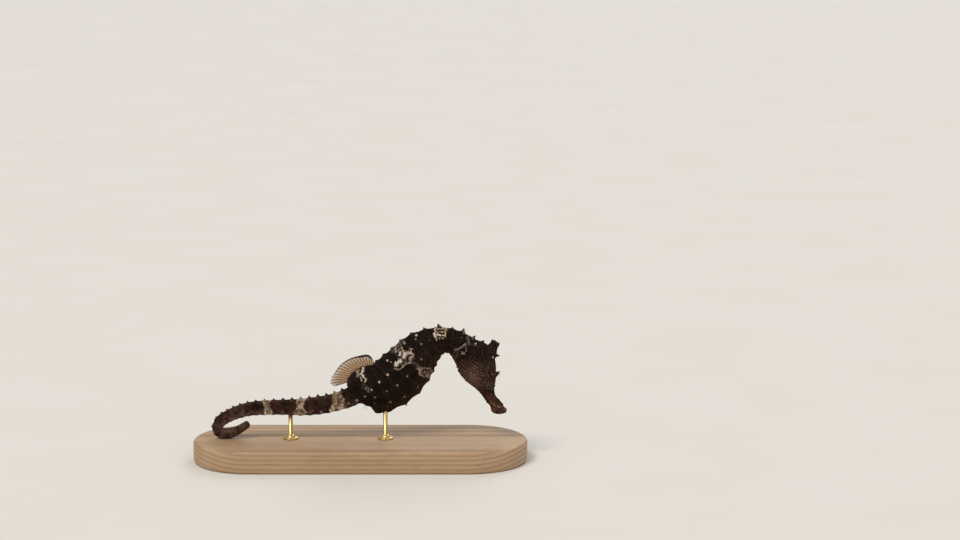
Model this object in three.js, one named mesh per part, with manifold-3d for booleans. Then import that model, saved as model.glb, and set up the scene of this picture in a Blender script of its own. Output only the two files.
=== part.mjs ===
// A lined seahorse at life size, swimming low with its tail curled, held by two rods over a wooden base.
// Millimetres, +Z up. The fish faces +X and its right side faces -Y.
// The origin is the middle of the base's underside. The fish itself is drawn with z measured from the
// lowest point of its tail, and the group that holds it is lifted over the base.

import * as THREE from "three";
import { mergeVertices } from "three/addons/utils/BufferGeometryUtils.js";
import Module from "manifold-3d";

const wasm = await Module();
wasm.setup();

// ---------- Driving dimensions ----------

const PART_GAP = 0.3; // clear space between neighbouring pieces
const BASE = { length: 124, width: 44, height: 8, bevel: 1 };
const ROD = { radius: 0.8, footRadius: 3, footHeight: 0.7, filletHeight: 0.5, tipBevel: 0.2 };
const FRONT_ROD = { x: 9.3, holeTop: 12.8 }; // under the belly
const REAR_ROD = { x: -25.9, holeTop: 10.9 }; // under the middle of the tail
const FISH_LIFT = BASE.height + PART_GAP; // the tail's curl hangs just clear of the base

const EYE = { s: 12.9, rise: 0.3, radius: 1.78, lateral: 2.66 };
const ORBIT = { radius: 2.35, lateral: 2.1 }; // the bony rim that carries each eye
const CORONET = {
  x: 48.4, // foot, sunk in the crown of the head
  z: 33.1,
  leanDegrees: 31,
  height: 3.4,
  footRadius: 2.5,
  topRadius: 1.7,
  points: 5,
  pointHeight: 1,
};
const ANAL_FIN = { x: 2.8, z: 13.9, radius: 3.6, thickness: 0.5, headingDegrees: -112, spreadDegrees: 34 };
const PECTORAL_FIN = {
  x: 38,
  z: 33,
  lateral: 3.2,
  radius: 4.6,
  thickness: 0.5,
  headingDegrees: 178,
  spreadDegrees: 74,
  flareDegrees: 24,
};

// Stations along the midline, lips to tail tip: [x, z, half depth, half width].
const STATIONS = [
  // snout
  [53.8, 10.2, 1.1, 0.7],
  [52.8, 10.5, 1.5, 1.2],
  [51.4, 11.1, 2.3, 1.6],
  [49.8, 13.3, 2.1, 1.5],
  [48.3, 15.2, 2.1, 1.6],
  // head
  [47.1, 17.9, 2.8, 2.2],
  [46.2, 20.7, 4.3, 3.4],
  [45.0, 23.6, 5.9, 4.1],
  [43.6, 26.6, 7.0, 4.3],
  [42.3, 29.9, 7.5, 4.1],
  // neck
  [39.3, 32.7, 6.0, 3.8],
  [36.4, 35.3, 5.0, 3.6],
  [33.2, 36.6, 4.6, 3.6],
  [29.8, 36.7, 5.1, 3.8],
  // trunk
  [26.5, 35.3, 6.2, 4.1],
  [23.5, 33.3, 7.5, 4.7],
  [20.7, 30.5, 8.5, 5.2],
  [18.1, 27.3, 9.2, 5.6],
  [15.1, 24.1, 9.7, 5.8],
  [11.5, 21.1, 9.7, 5.6],
  [7.4, 18.7, 9.1, 5.1],
  [3.0, 17.6, 7.2, 4.4],
  [-0.9, 16.7, 4.1, 3.6],
  // tail
  [-5.2, 14.8, 3.2, 3.0],
  [-10.0, 13.3, 3.0, 2.9],
  [-15.9, 12.2, 3.0, 2.8],
  [-22.6, 11.6, 2.7, 2.7],
  [-29.2, 11.6, 2.5, 2.4],
  [-35.5, 11.4, 2.4, 2.3],
  [-41.1, 10.9, 2.3, 2.2],
  [-45.5, 9.7, 2.2, 2.1],
  // curl
  [-49.1, 8.1, 2.1, 2.1],
  [-51.8, 6.3, 2.1, 2.0],
  [-53.0, 4.0, 1.9, 1.9],
  [-51.9, 2.0, 1.8, 1.8],
  [-49.4, 1.7, 1.7, 1.7],
  [-46.6, 2.4, 1.6, 1.5],
  [-44.2, 3.7, 1.4, 1.4],
  [-42.3, 4.9, 1.3, 1.3],
];

// Left halves of the cross sections, back to belly: [share of half depth, share of half width].
const HEAD_SECTION = [
  [1, 0], [0.86, 0.45], [0.5, 0.85],
  [0.1, 1], [-0.2, 0.98], [-0.45, 0.88],
  [-0.68, 0.7], [-0.88, 0.42], [-1, 0],
];
const TRUNK_SECTION = [
  [0.93, 0], [0.95, 0.42], [0.68, 0.78],
  [0.3, 1], [-0.02, 0.96], [-0.28, 0.86],
  [-0.55, 0.62], [-0.76, 0.38], [-1, 0],
];
const TAIL_SECTION = [
  [0.86, 0], [1, 0.8], [0.1, 0.86],
  [-0.92, 0.88], [-0.95, 0.66], [-0.96, 0.45],
  [-0.97, 0.3], [-0.98, 0.15], [-1, 0],
];

// Distances along the midline from the lips.
const HEAD_START = 9.8; // the snout ends here
const HEAD_MIDDLE = 20;
const HEAD_END = 28.2;
const TRUNK_SECTION_SPAN = [26, 34]; // head section turns into trunk section
const TAIL_SECTION_SPAN = [69, 80]; // trunk section turns into tail section

// Bony rings: eleven round the trunk, then tail rings at an even pitch that shrinks towards the tip.
const TRUNK_RINGS = [32.4, 35.1, 38.3, 41.9, 45.6, 49.2, 53.2, 58.1, 63.2, 67.7, 71.3];
const TAIL_PITCH = 3.36;
const EVEN_TAIL_RINGS = 12;
const TIP_PITCH_RATIO = 0.93;
const SHORTEST_PITCH = 1;
const RING_RELIEF = 0.025; // rise of each ring, as a share of the half depth
const FLANK_LEAD = 0.28; // part of a pitch by which a trunk ring's knobs lie ahead on the flanks

const CURVE_TENSION = 0.5;
const TURN_REACH = 0.75; // stations looked ahead and back for the direction of a section
const HEAD_STEP = 1.2; // spacing of the sections of the snout and head
const RING_STEP = 1.7; // widest spacing of the sections in a ring
const SPINE_SIDES = 5;
const SPINE_SINK = 0.5; // depth of a spine's root under the surface
const SPINE_STOUTNESS = 0.75; // radius of a spine's root over its height
const TIP_LATITUDES = [25, 50, 72]; // degrees of the hoops that round off the tail tip
const LEFT = new THREE.Vector3(0, 1, 0);

// ---------- Midline, rings and sections ----------

const smoothCurve = (points) => new THREE.CatmullRomCurve3(points, false, "catmullrom", CURVE_TENSION);
const midline = smoothCurve(STATIONS.map(([x, z]) => new THREE.Vector3(x, 0, z)));
const girth = smoothCurve(STATIONS.map(([, , depth, width]) => new THREE.Vector3(depth, width, 0)));
midline.arcLengthDivisions = 2000;
const LENGTH = midline.getLength();

const RINGS = [...TRUNK_RINGS];
for (let pitch = TAIL_PITCH, s = RINGS.at(-1) + pitch; s < LENGTH; s += pitch) {
  RINGS.push(s);
  const shrinking = RINGS.length >= TRUNK_RINGS.length + EVEN_TAIL_RINGS;
  pitch = shrinking ? Math.max(pitch * TIP_PITCH_RATIO, SHORTEST_PITCH) : pitch;
}

// Distance along the midline at a count of rings, which start at 1, whole or in part.
function ringPlace(count) {
  const before = THREE.MathUtils.clamp(Math.floor(count), 1, RINGS.length - 1);
  return THREE.MathUtils.lerp(RINGS[before - 1], RINGS[before], count - before);
}

const grooveAfter = (ring) => ringPlace(ring + 0.5);

function ringsPassed(s) {
  const next = RINGS.findIndex((ring) => ring > s);
  if (next === 0) return 0;
  if (next < 0) return RINGS.length;
  return next + (s - RINGS[next - 1]) / (RINGS[next] - RINGS[next - 1]);
}

function ringRelief(s) {
  const fadeIn = THREE.MathUtils.smoothstep(s, HEAD_END, RINGS[0]);
  return 1 + RING_RELIEF * fadeIn * Math.cos(2 * Math.PI * ringsPassed(s));
}

function frameAt(s) {
  const t = midline.getUtoTmapping(s / LENGTH);
  const reach = TURN_REACH / (STATIONS.length - 1);
  const ahead = midline.getPoint(Math.min(t + reach, 1));
  const behind = midline.getPoint(Math.max(t - reach, 0));
  const along = ahead.sub(behind).normalize();
  const up = new THREE.Vector3(along.z, 0, -along.x);
  const { x: depth, y: width } = girth.getPoint(t);
  const relief = ringRelief(s);
  return { centre: midline.getPoint(t), along, up, depth: depth * relief, width: width * relief };
}

function halfSectionAt(s) {
  const toTrunk = THREE.MathUtils.smoothstep(s, ...TRUNK_SECTION_SPAN);
  const toTail = THREE.MathUtils.smoothstep(s, ...TAIL_SECTION_SPAN);
  return HEAD_SECTION.map((headPoint, i) => headPoint.map((share, axis) => {
    const trunkShare = THREE.MathUtils.lerp(share, TRUNK_SECTION[i][axis], toTrunk);
    return THREE.MathUtils.lerp(trunkShare, TAIL_SECTION[i][axis], toTail);
  }));
}

function wholeSectionAt(s) {
  const left = halfSectionAt(s);
  const right = left.slice(1, -1).reverse().map(([rise, side]) => [rise, -side]);
  return [...left, ...right];
}

const surfacePoint = ({ centre, up, depth, width }, rise, side, grow = 0) => centre.clone()
  .addScaledVector(up, rise * (depth + grow))
  .addScaledVector(LEFT, side * (width + grow));

// ---------- Solids ----------

function solid(geometry) {
  geometry.deleteAttribute("normal");
  geometry.deleteAttribute("uv");
  const merged = mergeVertices(geometry);
  const vertProperties = merged.attributes.position.array;
  const triVerts = new Uint32Array(merged.index.array);
  return new wasm.Manifold(new wasm.Mesh({ numProp: 3, vertProperties, triVerts }));
}

function geometryOf(body) {
  const mesh = body.getMesh();
  const geometry = new THREE.BufferGeometry();
  geometry.setAttribute("position", new THREE.BufferAttribute(mesh.vertProperties, 3));
  geometry.setIndex(new THREE.BufferAttribute(mesh.triVerts, 1));
  geometry.computeVertexNormals();
  return geometry;
}

function sphere(radius, centre) {
  return solid(new THREE.SphereGeometry(radius, 14, 9).translate(centre.x, centre.y, centre.z));
}

// A flat piece: an outline in x and z, given a thickness evenly to both sides of the plane y = 0.
function plate(outline, thickness, grow = 0) {
  const geometry = new THREE.ExtrudeGeometry(new THREE.Shape(outline), {
    depth: thickness,
    curveSegments: 1,
    bevelEnabled: grow > 0,
    bevelSize: grow,
    bevelThickness: grow,
    bevelSegments: 1,
  });
  return geometry.rotateX(Math.PI / 2).translate(0, thickness / 2, 0);
}

// ---------- The body as a loft ----------

const divided = (from, to, parts) => Array.from({ length: parts }, (_, i) => from + (to - from) * i / parts);

const dividedBy = (from, to, step) => divided(from, to, Math.ceil((to - from) / step));

const STOPS = [
  ...dividedBy(0, RINGS[0], HEAD_STEP),
  ...RINGS.slice(0, -1).flatMap((ring, i) => dividedBy(ring, RINGS[i + 1], RING_STEP)),
];

function stopsBetween(from, to) {
  const inner = STOPS.filter((s) => s > from + PART_GAP / 2 && s < to - PART_GAP / 2);
  return [from, ...inner, to];
}

// One stretch of the body, closed by flat ends, or by a rounded tip at the end of the tail.
function loft(from, to, { grow = 0, roundTip = false } = {}) {
  const hoops = stopsBetween(from, to).map((s) => {
    const frame = frameAt(s);
    return wholeSectionAt(s).map(([rise, side]) => surfacePoint(frame, rise, side, grow));
  });
  const first = frameAt(from);
  const last = frameAt(to);
  const tip = last.centre.clone();
  if (roundTip) {
    for (const degrees of TIP_LATITUDES) {
      const angle = THREE.MathUtils.degToRad(degrees);
      const shift = last.along.clone().multiplyScalar(last.depth * Math.sin(angle));
      const shrink = Math.cos(angle);
      const hoop = wholeSectionAt(to).map(([rise, side]) => surfacePoint(last, rise * shrink, side * shrink));
      hoops.push(hoop.map((point) => point.add(shift)));
    }
    tip.addScaledVector(last.along, last.depth);
  }
  const sides = hoops[0].length;
  const points = [...hoops.flat(), first.centre, tip];
  const startCentre = points.length - 2;
  const endCentre = points.length - 1;
  const lastHoop = (hoops.length - 1) * sides;
  const index = [];
  for (let j = 0; j < sides; j += 1) {
    const k = (j + 1) % sides;
    for (let row = 0; row < lastHoop; row += sides) {
      index.push(row + j, row + k, row + sides + k);
      index.push(row + j, row + sides + k, row + sides + j);
    }
    index.push(startCentre, k, j);
    index.push(endCentre, lastHoop + j, lastHoop + k);
  }
  const geometry = new THREE.BufferGeometry().setFromPoints(points);
  geometry.setIndex(index);
  return solid(geometry);
}

// A stretch between two cuts, each end held back by half of the gap between pieces.
const stretch = (from, to, options) => loft(
  from === 0 ? 0 : from + PART_GAP / 2,
  to === LENGTH ? LENGTH : to - PART_GAP / 2,
  options,
);

// A stretch of the body with the gap round it, to cut the pieces that stand on it.
const clearOfBody = (from, to) => loft(from, to, { grow: PART_GAP });

// ---------- Spines ----------

function cone(root, direction, height, stoutness = SPINE_STOUTNESS) {
  const geometry = new THREE.ConeGeometry(height * stoutness, height + SPINE_SINK, SPINE_SIDES);
  geometry.translate(0, (height - SPINE_SINK) / 2, 0);
  geometry.applyQuaternion(new THREE.Quaternion().setFromUnitVectors(new THREE.Vector3(0, 1, 0), direction));
  return solid(geometry.translate(root.x, root.y, root.z));
}

// A spine standing square to the surface at a share of the depth and width.
function spine(s, [rise, side], height, stoutness) {
  const frame = frameAt(s);
  const direction = new THREE.Vector3()
    .addScaledVector(frame.up, rise * frame.width)
    .addScaledVector(LEFT, side * frame.depth)
    .normalize();
  return cone(surfacePoint(frame, rise, side), direction, height, stoutness);
}

function spinePair(s, [rise, side], ...shape) {
  return [1, -1].map((hand) => spine(s, [rise, hand * side], ...shape));
}

// Rows of spines, each as [share of half depth, share of half width].
const BACK_ROW = [0.95, 0.42];
const SIDE_ROW = [0.3, 1];
const BELLY_ROW = [-0.28, 0.86];
const KEEL_ROW = [-1, 0];
const TAIL_ROW = [1, 0.8];

// Heights of the spines of the back on trunk rings 1 to 9: the first and the third stand highest.
const BACK_SPINES = [1.6, 1, 1.6, 1.2, 1.1, 1, 0.9, 0.8, 0.8];
const KEEL_SPINES = [0.3, 0.3, 0.4, 0.4, 0.5, 0.6, 0.6, 0.7, 1, 0.7, 0.6];
const SIDE_SPINE = 0.55;
const SLIM = 0.5; // stoutness of the spines over the eyes
const BROW_SPINE = {
  root: new THREE.Vector3(49.4, 0, 31.4), // in front of the coronet, on a broad foot
  direction: new THREE.Vector3(0.99, 0, -0.14),
  height: 2.7,
  stoutness: 0.62,
};
const TAIL_SPINE_SHARE = 0.2; // height of a tail spine over the tail's half depth
const SPINED_TAIL_RINGS = 20;

function trunkSpines(firstRing, lastRing) {
  const spines = [];
  for (let ring = firstRing; ring <= lastRing; ring += 1) {
    const s = RINGS[ring - 1];
    const flank = ringPlace(ring - FLANK_LEAD);
    if (ring <= BACK_SPINES.length) {
      spines.push(...spinePair(s, BACK_ROW, BACK_SPINES[ring - 1]));
    }
    spines.push(...spinePair(flank, SIDE_ROW, SIDE_SPINE));
    spines.push(...spinePair(flank, BELLY_ROW, SIDE_SPINE));
    spines.push(spine(s, KEEL_ROW, KEEL_SPINES[ring - 1]));
  }
  return spines;
}

function tailSpines(firstRing, lastRing) {
  const spines = [];
  for (let ring = firstRing; ring <= Math.min(lastRing, SPINED_TAIL_RINGS); ring += 1) {
    const s = RINGS[TRUNK_RINGS.length + ring - 1];
    spines.push(...spinePair(s, TAIL_ROW, frameAt(s).depth * TAIL_SPINE_SHARE));
  }
  return spines;
}

const joined = (body, additions) => additions.reduce((whole, addition) => whole.add(addition), body);

// ---------- Head, eyes and coronet ----------

function eyeCentre(side, lateral = EYE.lateral) {
  const frame = frameAt(EYE.s);
  return surfacePoint(frame, EYE.rise, 0).addScaledVector(LEFT, side * lateral);
}

// The spine on the brow, or with the gap round it to cut the coronet.
function browSpine(grow = 0) {
  const { root, direction, height, stoutness } = BROW_SPINE;
  return cone(root.clone().addScaledVector(direction, -2 * grow), direction, height + 4 * grow, stoutness);
}

function headSolid() {
  const orbits = [-1, 1].map((side) => sphere(ORBIT.radius, eyeCentre(side, ORBIT.lateral)));
  const sockets = [-1, 1].map((side) => sphere(EYE.radius + PART_GAP, eyeCentre(side)));
  const spines = [
    ...spinePair(15.3, [0.95, 0.28], 1.9, SLIM), // over the eyes
    spine(11.6, [1, 0], 0.5), // nose
    browSpine(),
    spine(26, [1, 0], 0.9), // nape
    ...spinePair(26.2, [-0.97, 0.2], 0.6), // throat
    ...spinePair(17.4, [-0.97, 0.2], 0.5),
  ];
  const skull = joined(stretch(HEAD_START, HEAD_END), [...orbits, ...spines]);
  return sockets.reduce((body, socket) => body.subtract(socket), skull);
}

function coronetSolid() {
  const { x, z, leanDegrees, height, footRadius, topRadius, points, pointHeight } = CORONET;
  const stalk = solid(new THREE.CylinderGeometry(topRadius, footRadius, height, 2 * points));
  const tips = Array.from({ length: points }, (_, i) => {
    const angle = 2 * Math.PI * i / points;
    const outward = new THREE.Vector3(Math.cos(angle), 0, Math.sin(angle));
    const root = outward.clone().multiplyScalar(topRadius * 0.75).setY(height / 2 - SPINE_SINK / 2);
    return cone(root, outward.multiplyScalar(0.4).setY(1).normalize(), pointHeight);
  });
  const crown = geometryOf(joined(stalk, tips));
  crown.translate(0, height / 2, 0);
  crown.rotateX(Math.PI / 2);
  crown.rotateY(THREE.MathUtils.degToRad(leanDegrees));
  return solid(crown.translate(x, 0, z))
    .subtract(clearOfBody(HEAD_MIDDLE, HEAD_END))
    .subtract(browSpine(PART_GAP));
}

// ---------- Fins ----------

const points2D = (pairs) => pairs.map(([x, z]) => new THREE.Vector2(x, z));

// The raised wedge of flesh that carries the dorsal fin, along its upper edge and then through the body.
const FIN_WEDGE = points2D([
  [5.9, 26.4], [5.2, 27.7], [1.9, 27.1], [-1.1, 26], [-3.3, 23.8], [-4.8, 21.2], [-4.2, 19], [0, 18], [5, 21],
]);
const WEDGE_THICKNESS = 2;
const DORSAL_FIN_THICKNESS = 0.6;

// The free edge of the dorsal fin, front to back, and a point inside the wedge that closes it.
const DORSAL_ROOT = new THREE.Vector2(0, 22);
const DORSAL_EDGE = points2D([
  [5.2, 27], [5.2, 28.6], [4.1, 30.8], [2.2, 31.6], [-1.9, 30.8], [-4.4, 29.7], [-7, 27.9],
  [-8.9, 25.6], [-10.7, 22.7], [-11.1, 20.8], [-9.3, 19.9], [-4.8, 20.6],
]);

const finWedge = (grow) => solid(plate(FIN_WEDGE, WEDGE_THICKNESS, grow));

function dorsalFin() {
  const edge = new THREE.SplineCurve(DORSAL_EDGE).getPoints(3 * DORSAL_EDGE.length);
  const sheet = solid(plate([...edge, DORSAL_ROOT], DORSAL_FIN_THICKNESS));
  return sheet.subtract(finWedge(PART_GAP)).subtract(clearOfBody(RINGS[7], RINGS[14]));
}

const FAN_RAYS = 9;

// A fan from the origin in x and z, opening round its heading.
function fan({ radius, thickness, headingDegrees, spreadDegrees }) {
  const rim = Array.from({ length: FAN_RAYS }, (_, i) => {
    const degrees = headingDegrees + spreadDegrees * (i / (FAN_RAYS - 1) - 0.5);
    const angle = THREE.MathUtils.degToRad(degrees);
    return new THREE.Vector2(radius * Math.cos(angle), radius * Math.sin(angle));
  });
  return plate([new THREE.Vector2(0, 0), ...rim], thickness);
}

function analFin() {
  const sheet = solid(fan(ANAL_FIN).translate(ANAL_FIN.x, 0, ANAL_FIN.z));
  return sheet.subtract(clearOfBody(RINGS[8], RINGS[13]));
}

function pectoralFin(side) {
  const sheet = fan(PECTORAL_FIN);
  sheet.rotateZ(THREE.MathUtils.degToRad(-side * PECTORAL_FIN.flareDegrees));
  sheet.translate(PECTORAL_FIN.x, side * PECTORAL_FIN.lateral, PECTORAL_FIN.z);
  return solid(sheet).subtract(clearOfBody(HEAD_MIDDLE, RINGS[3]));
}

// ---------- Stand ----------

function rodHole({ x, holeTop }) {
  const radius = ROD.radius + PART_GAP;
  const hole = new THREE.CylinderGeometry(radius, radius, 2 * holeTop, 12);
  return solid(hole.rotateX(Math.PI / 2).translate(x, 0, 0));
}

function rodGeometry({ holeTop }) {
  const height = holeTop + FISH_LIFT - PART_GAP - BASE.height;
  const { radius, footRadius, footHeight, filletHeight, tipBevel } = ROD;
  const profile = points2D([
    [0, 0],
    [footRadius, 0],
    [footRadius, footHeight],
    [radius + filletHeight, footHeight + filletHeight / 2],
    [radius, footHeight + 2 * filletHeight],
    [radius, height - tipBevel],
    [radius - tipBevel, height],
    [0, height],
  ]);
  return new THREE.LatheGeometry(profile, 14).rotateX(Math.PI / 2);
}

function baseGeometry() {
  const { length, width, height, bevel } = BASE;
  const endRadius = width / 2 - bevel;
  const endCentre = (length - width) / 2;
  const outline = new THREE.Shape();
  outline.absarc(endCentre, 0, endRadius, -Math.PI / 2, Math.PI / 2);
  outline.absarc(-endCentre, 0, endRadius, Math.PI / 2, 3 * Math.PI / 2);
  return new THREE.ExtrudeGeometry(outline, {
    depth: height - 2 * bevel,
    bevelSize: bevel,
    bevelThickness: bevel,
    bevelSegments: 1,
    curveSegments: 14,
  }).translate(0, 0, bevel);
}

// ---------- The model ----------

const FLESH = new THREE.MeshStandardMaterial({ color: 0x33281f, roughness: 0.55 });
const FIN = new THREE.MeshStandardMaterial({
  color: 0xa89274,
  roughness: 0.5,
  transparent: true,
  opacity: 0.5,
});
const EYEBALL = new THREE.MeshStandardMaterial({ color: 0x15110d, roughness: 0.12 });
const WOOD = new THREE.MeshStandardMaterial({ color: 0xc9a878, roughness: 0.6 });
const BRASS = new THREE.MeshStandardMaterial({ color: 0xb18f4f, roughness: 0.3, metalness: 1 });

const model = new THREE.Group();
const fish = new THREE.Group();
fish.position.z = FISH_LIFT;
model.add(fish);

function addNode(group, name, geometry, material) {
  const mesh = new THREE.Mesh(geometry, material);
  mesh.name = name;
  group.add(mesh);
  return mesh;
}

const addSolid = (name, body, material = FLESH) => addNode(fish, name, geometryOf(body), material);

const RING_OF_NECK_END = 3;
const RING_OF_TRUNK_MIDDLE = 7;
const RING_OF_TRUNK_END = 13; // the trunk's piece keeps the two tail rings that carry the dorsal fin
const RINGS_IN_TAIL_PIECE = [4, 4, 4, 4, 5];

addSolid("snout", joined(stretch(0, HEAD_START), [spine(7, [-1, 0], 0.5)]));
addSolid("head", headSolid());
addSolid("coronet", coronetSolid());
addSolid("eye_right", sphere(EYE.radius, eyeCentre(-1)), EYEBALL);
addSolid("eye_left", sphere(EYE.radius, eyeCentre(1)), EYEBALL);

addSolid("neck", joined(
  stretch(HEAD_END, grooveAfter(RING_OF_NECK_END)),
  [spine(29.1, [0.98, 0], 1.2), ...trunkSpines(1, RING_OF_NECK_END)],
));
addSolid("trunk_front", joined(
  stretch(grooveAfter(RING_OF_NECK_END), grooveAfter(RING_OF_TRUNK_MIDDLE)),
  trunkSpines(RING_OF_NECK_END + 1, RING_OF_TRUNK_MIDDLE),
));
addSolid("trunk_rear", joined(
  stretch(grooveAfter(RING_OF_TRUNK_MIDDLE), grooveAfter(RING_OF_TRUNK_END)),
  [finWedge(0), ...trunkSpines(RING_OF_TRUNK_MIDDLE + 1, TRUNK_RINGS.length)],
).subtract(rodHole(FRONT_ROD)));

let lastRing = RING_OF_TRUNK_END;
RINGS_IN_TAIL_PIECE.forEach((count, i) => {
  const firstTailRing = lastRing + 1 - TRUNK_RINGS.length;
  const piece = joined(
    stretch(grooveAfter(lastRing), grooveAfter(lastRing + count)),
    tailSpines(firstTailRing, firstTailRing + count - 1),
  );
  addSolid(`tail_${i + 1}`, i === 1 ? piece.subtract(rodHole(REAR_ROD)) : piece);
  lastRing += count;
});
addSolid("tail_tip", stretch(grooveAfter(lastRing), LENGTH, { roundTip: true }));

addSolid("fin_dorsal", dorsalFin(), FIN);
addSolid("fin_anal", analFin(), FIN);
addSolid("fin_pectoral_right", pectoralFin(-1), FIN);
addSolid("fin_pectoral_left", pectoralFin(1), FIN);

addNode(model, "stand_base", baseGeometry(), WOOD);
addNode(model, "stand_rod_front", rodGeometry(FRONT_ROD), BRASS).position.set(FRONT_ROD.x, 0, BASE.height);
addNode(model, "stand_rod_rear", rodGeometry(REAR_ROD), BRASS).position.set(REAR_ROD.x, 0, BASE.height);

export default model;
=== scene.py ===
"""A lined seahorse display model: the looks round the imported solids.

The shapes are worked out in millimetres in the fish's own frame, with z from the lowest point of its tail,
and put in the row frame, in metres, when a mesh is made. The fish faces +X and its right side faces -Y.
"""

import math

import bpy
import numpy as np
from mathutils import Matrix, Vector, kdtree


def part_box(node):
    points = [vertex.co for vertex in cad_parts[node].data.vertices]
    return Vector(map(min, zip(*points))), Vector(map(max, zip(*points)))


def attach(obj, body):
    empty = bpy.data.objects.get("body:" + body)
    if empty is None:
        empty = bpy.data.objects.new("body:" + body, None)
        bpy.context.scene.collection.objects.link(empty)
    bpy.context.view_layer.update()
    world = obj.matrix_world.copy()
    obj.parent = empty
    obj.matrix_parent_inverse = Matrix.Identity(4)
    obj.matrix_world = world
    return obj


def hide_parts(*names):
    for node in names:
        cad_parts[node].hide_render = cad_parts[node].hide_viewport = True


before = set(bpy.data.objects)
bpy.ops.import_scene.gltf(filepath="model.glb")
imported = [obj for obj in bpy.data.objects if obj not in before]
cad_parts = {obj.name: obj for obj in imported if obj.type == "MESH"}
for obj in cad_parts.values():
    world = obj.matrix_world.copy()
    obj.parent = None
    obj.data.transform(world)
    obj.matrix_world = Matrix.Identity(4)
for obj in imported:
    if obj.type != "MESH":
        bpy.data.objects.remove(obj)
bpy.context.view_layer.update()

MM = 0.001
BASE_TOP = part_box("stand_base")[1].z / MM
CLEARANCE = 0.3  # from the base up to the lowest point of the tail
FISH_LIFT = BASE_TOP + CLEARANCE


# ---------- Numbers and meshes ----------

def smoothstep(x, low, high):
    t = np.clip((x - low) / (high - low), 0, 1)
    return t * t * (3 - 2 * t)


def falling(x, low, high):
    """1 where x is low or less, 0 where it is high or more."""
    return 1 - smoothstep(x, low, high)


def ridge(distance, width):
    return np.exp(-((distance / width) ** 2))


def mix(a, b, share):
    return a + (b - a) * share


def unit(vectors):
    return vectors / np.maximum(np.linalg.norm(vectors, axis=-1, keepdims=True), 1e-12)


def catmull_rom_piece(before, start, end, after, f):
    """The smooth curve from start to end, at part f of the way."""
    leaving = (end - before) / 2
    arriving = (after - start) / 2
    return (
        (2 * f**3 - 3 * f**2 + 1) * start
        + (f**3 - 2 * f**2 + f) * leaving
        + (3 * f**2 - 2 * f**3) * end
        + (f**3 - f**2) * arriving
    )


def catmull_rom(points, t):
    """The uniform Catmull-Rom curve through points, where t counts them from 0."""
    padded = np.vstack([2 * points[0] - points[1], points, 2 * points[-1] - points[-2]])
    i = np.clip(np.asarray(t).astype(int), 0, len(points) - 2)
    return catmull_rom_piece(*(padded[i + k] for k in range(4)), (t - i)[:, None])


def along_curve(points, shares):
    """Points at even shares of the length of a smooth curve through points."""
    points = np.asarray(points, float)
    t = np.linspace(0, len(points) - 1, 40 * len(points))
    path = catmull_rom(points, t)
    run = np.concatenate([[0], np.cumsum(np.linalg.norm(np.diff(path, axis=0), axis=1))])
    return catmull_rom(points, np.interp(np.asarray(shares) * run[-1], run, t))


HASH_STEPS = (374761393, 668265263, 2147483647, 1274126177)


def lattice_noise(points, size, seed=0):
    """Smooth noise from -1 to 1 whose bumps are about size across."""
    scaled = np.asarray(points) / size + 1000
    cell = np.floor(scaled).astype(np.int64)
    f = scaled - cell
    f = f * f * (3 - 2 * f)
    total = 0
    for corner in range(8):
        offset = np.array([corner & 1, corner >> 1 & 1, corner >> 2 & 1])
        key = (cell + offset) @ np.array(HASH_STEPS[:3]) + seed * 7919
        key = (key ^ (key >> 13)) * HASH_STEPS[3]
        value = ((key ^ (key >> 16)) & 0xFFFF) / 0x8000 - 1
        total = total + value * np.prod(np.where(offset, f, 1 - f), axis=-1)
    return total


def add_object(name, data):
    added = bpy.data.objects.new(name, data)
    bpy.context.scene.collection.objects.link(added)
    return added


def new_mesh(name, points, faces):
    """A mesh object from points in millimetres in the fish's frame."""
    mesh = bpy.data.meshes.new(name)
    mesh.from_pydata(np.asarray(points).tolist(), [], [list(map(int, face)) for face in faces])
    mesh.update()
    return add_object(name, mesh)


def values_of(items, name, width=1, kind=np.float32):
    """One property of a mesh's points, edges or corners, as rows of numbers."""
    values = np.empty(len(items) * width, kind)
    items.foreach_get(name, values)
    return values.reshape(-1, width)


def mesh_points(mesh):
    return values_of(mesh.vertices, "co", 3).astype(float)


def vertex_normals(mesh):
    return values_of(mesh.vertex_normals, "vector", 3).astype(float)


def face_corners(mesh):
    """The vertex at each corner of each face, in one row."""
    return values_of(mesh.loops, "vertex_index", kind=np.int32)[:, 0]


def move_points(mesh, points):
    mesh.vertices.foreach_set("co", points.astype(np.float32).ravel())
    mesh.update()


def set_attributes(mesh, fields):
    for name, values in fields.items():
        attribute = mesh.attributes.new(name, "FLOAT", "POINT")
        attribute.data.foreach_set("value", np.asarray(values, np.float32))


def set_map(mesh, places):
    """Gives each face corner its place on the map."""
    layer = mesh.uv_layers.new(name="OFBake")
    layer.data.foreach_set("uv", places.astype(np.float32).ravel())


def place_piece(piece, material, nodes, lift=FISH_LIFT):
    """Finishes a piece made in millimetres: its look, its place in the frame and the nodes it replaces."""
    mesh = piece.data
    mesh.materials.append(material)
    mesh.polygons.foreach_set("use_smooth", np.ones(len(mesh.polygons), bool))
    move_points(mesh, (mesh_points(mesh) + np.array([0, 0, lift])) * MM)
    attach(piece, "root")
    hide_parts(*nodes)


def grid_faces(rows, columns, closed=True):
    """Quads over a grid of points, its columns joined up when it is closed."""
    j = np.arange(columns if closed else columns - 1)
    k = (j + 1) % columns
    i = np.arange(rows - 1)[:, None] * columns
    return np.stack([i + j, i + k, i + columns + k, i + columns + j], axis=-1).reshape(-1, 4)


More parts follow.
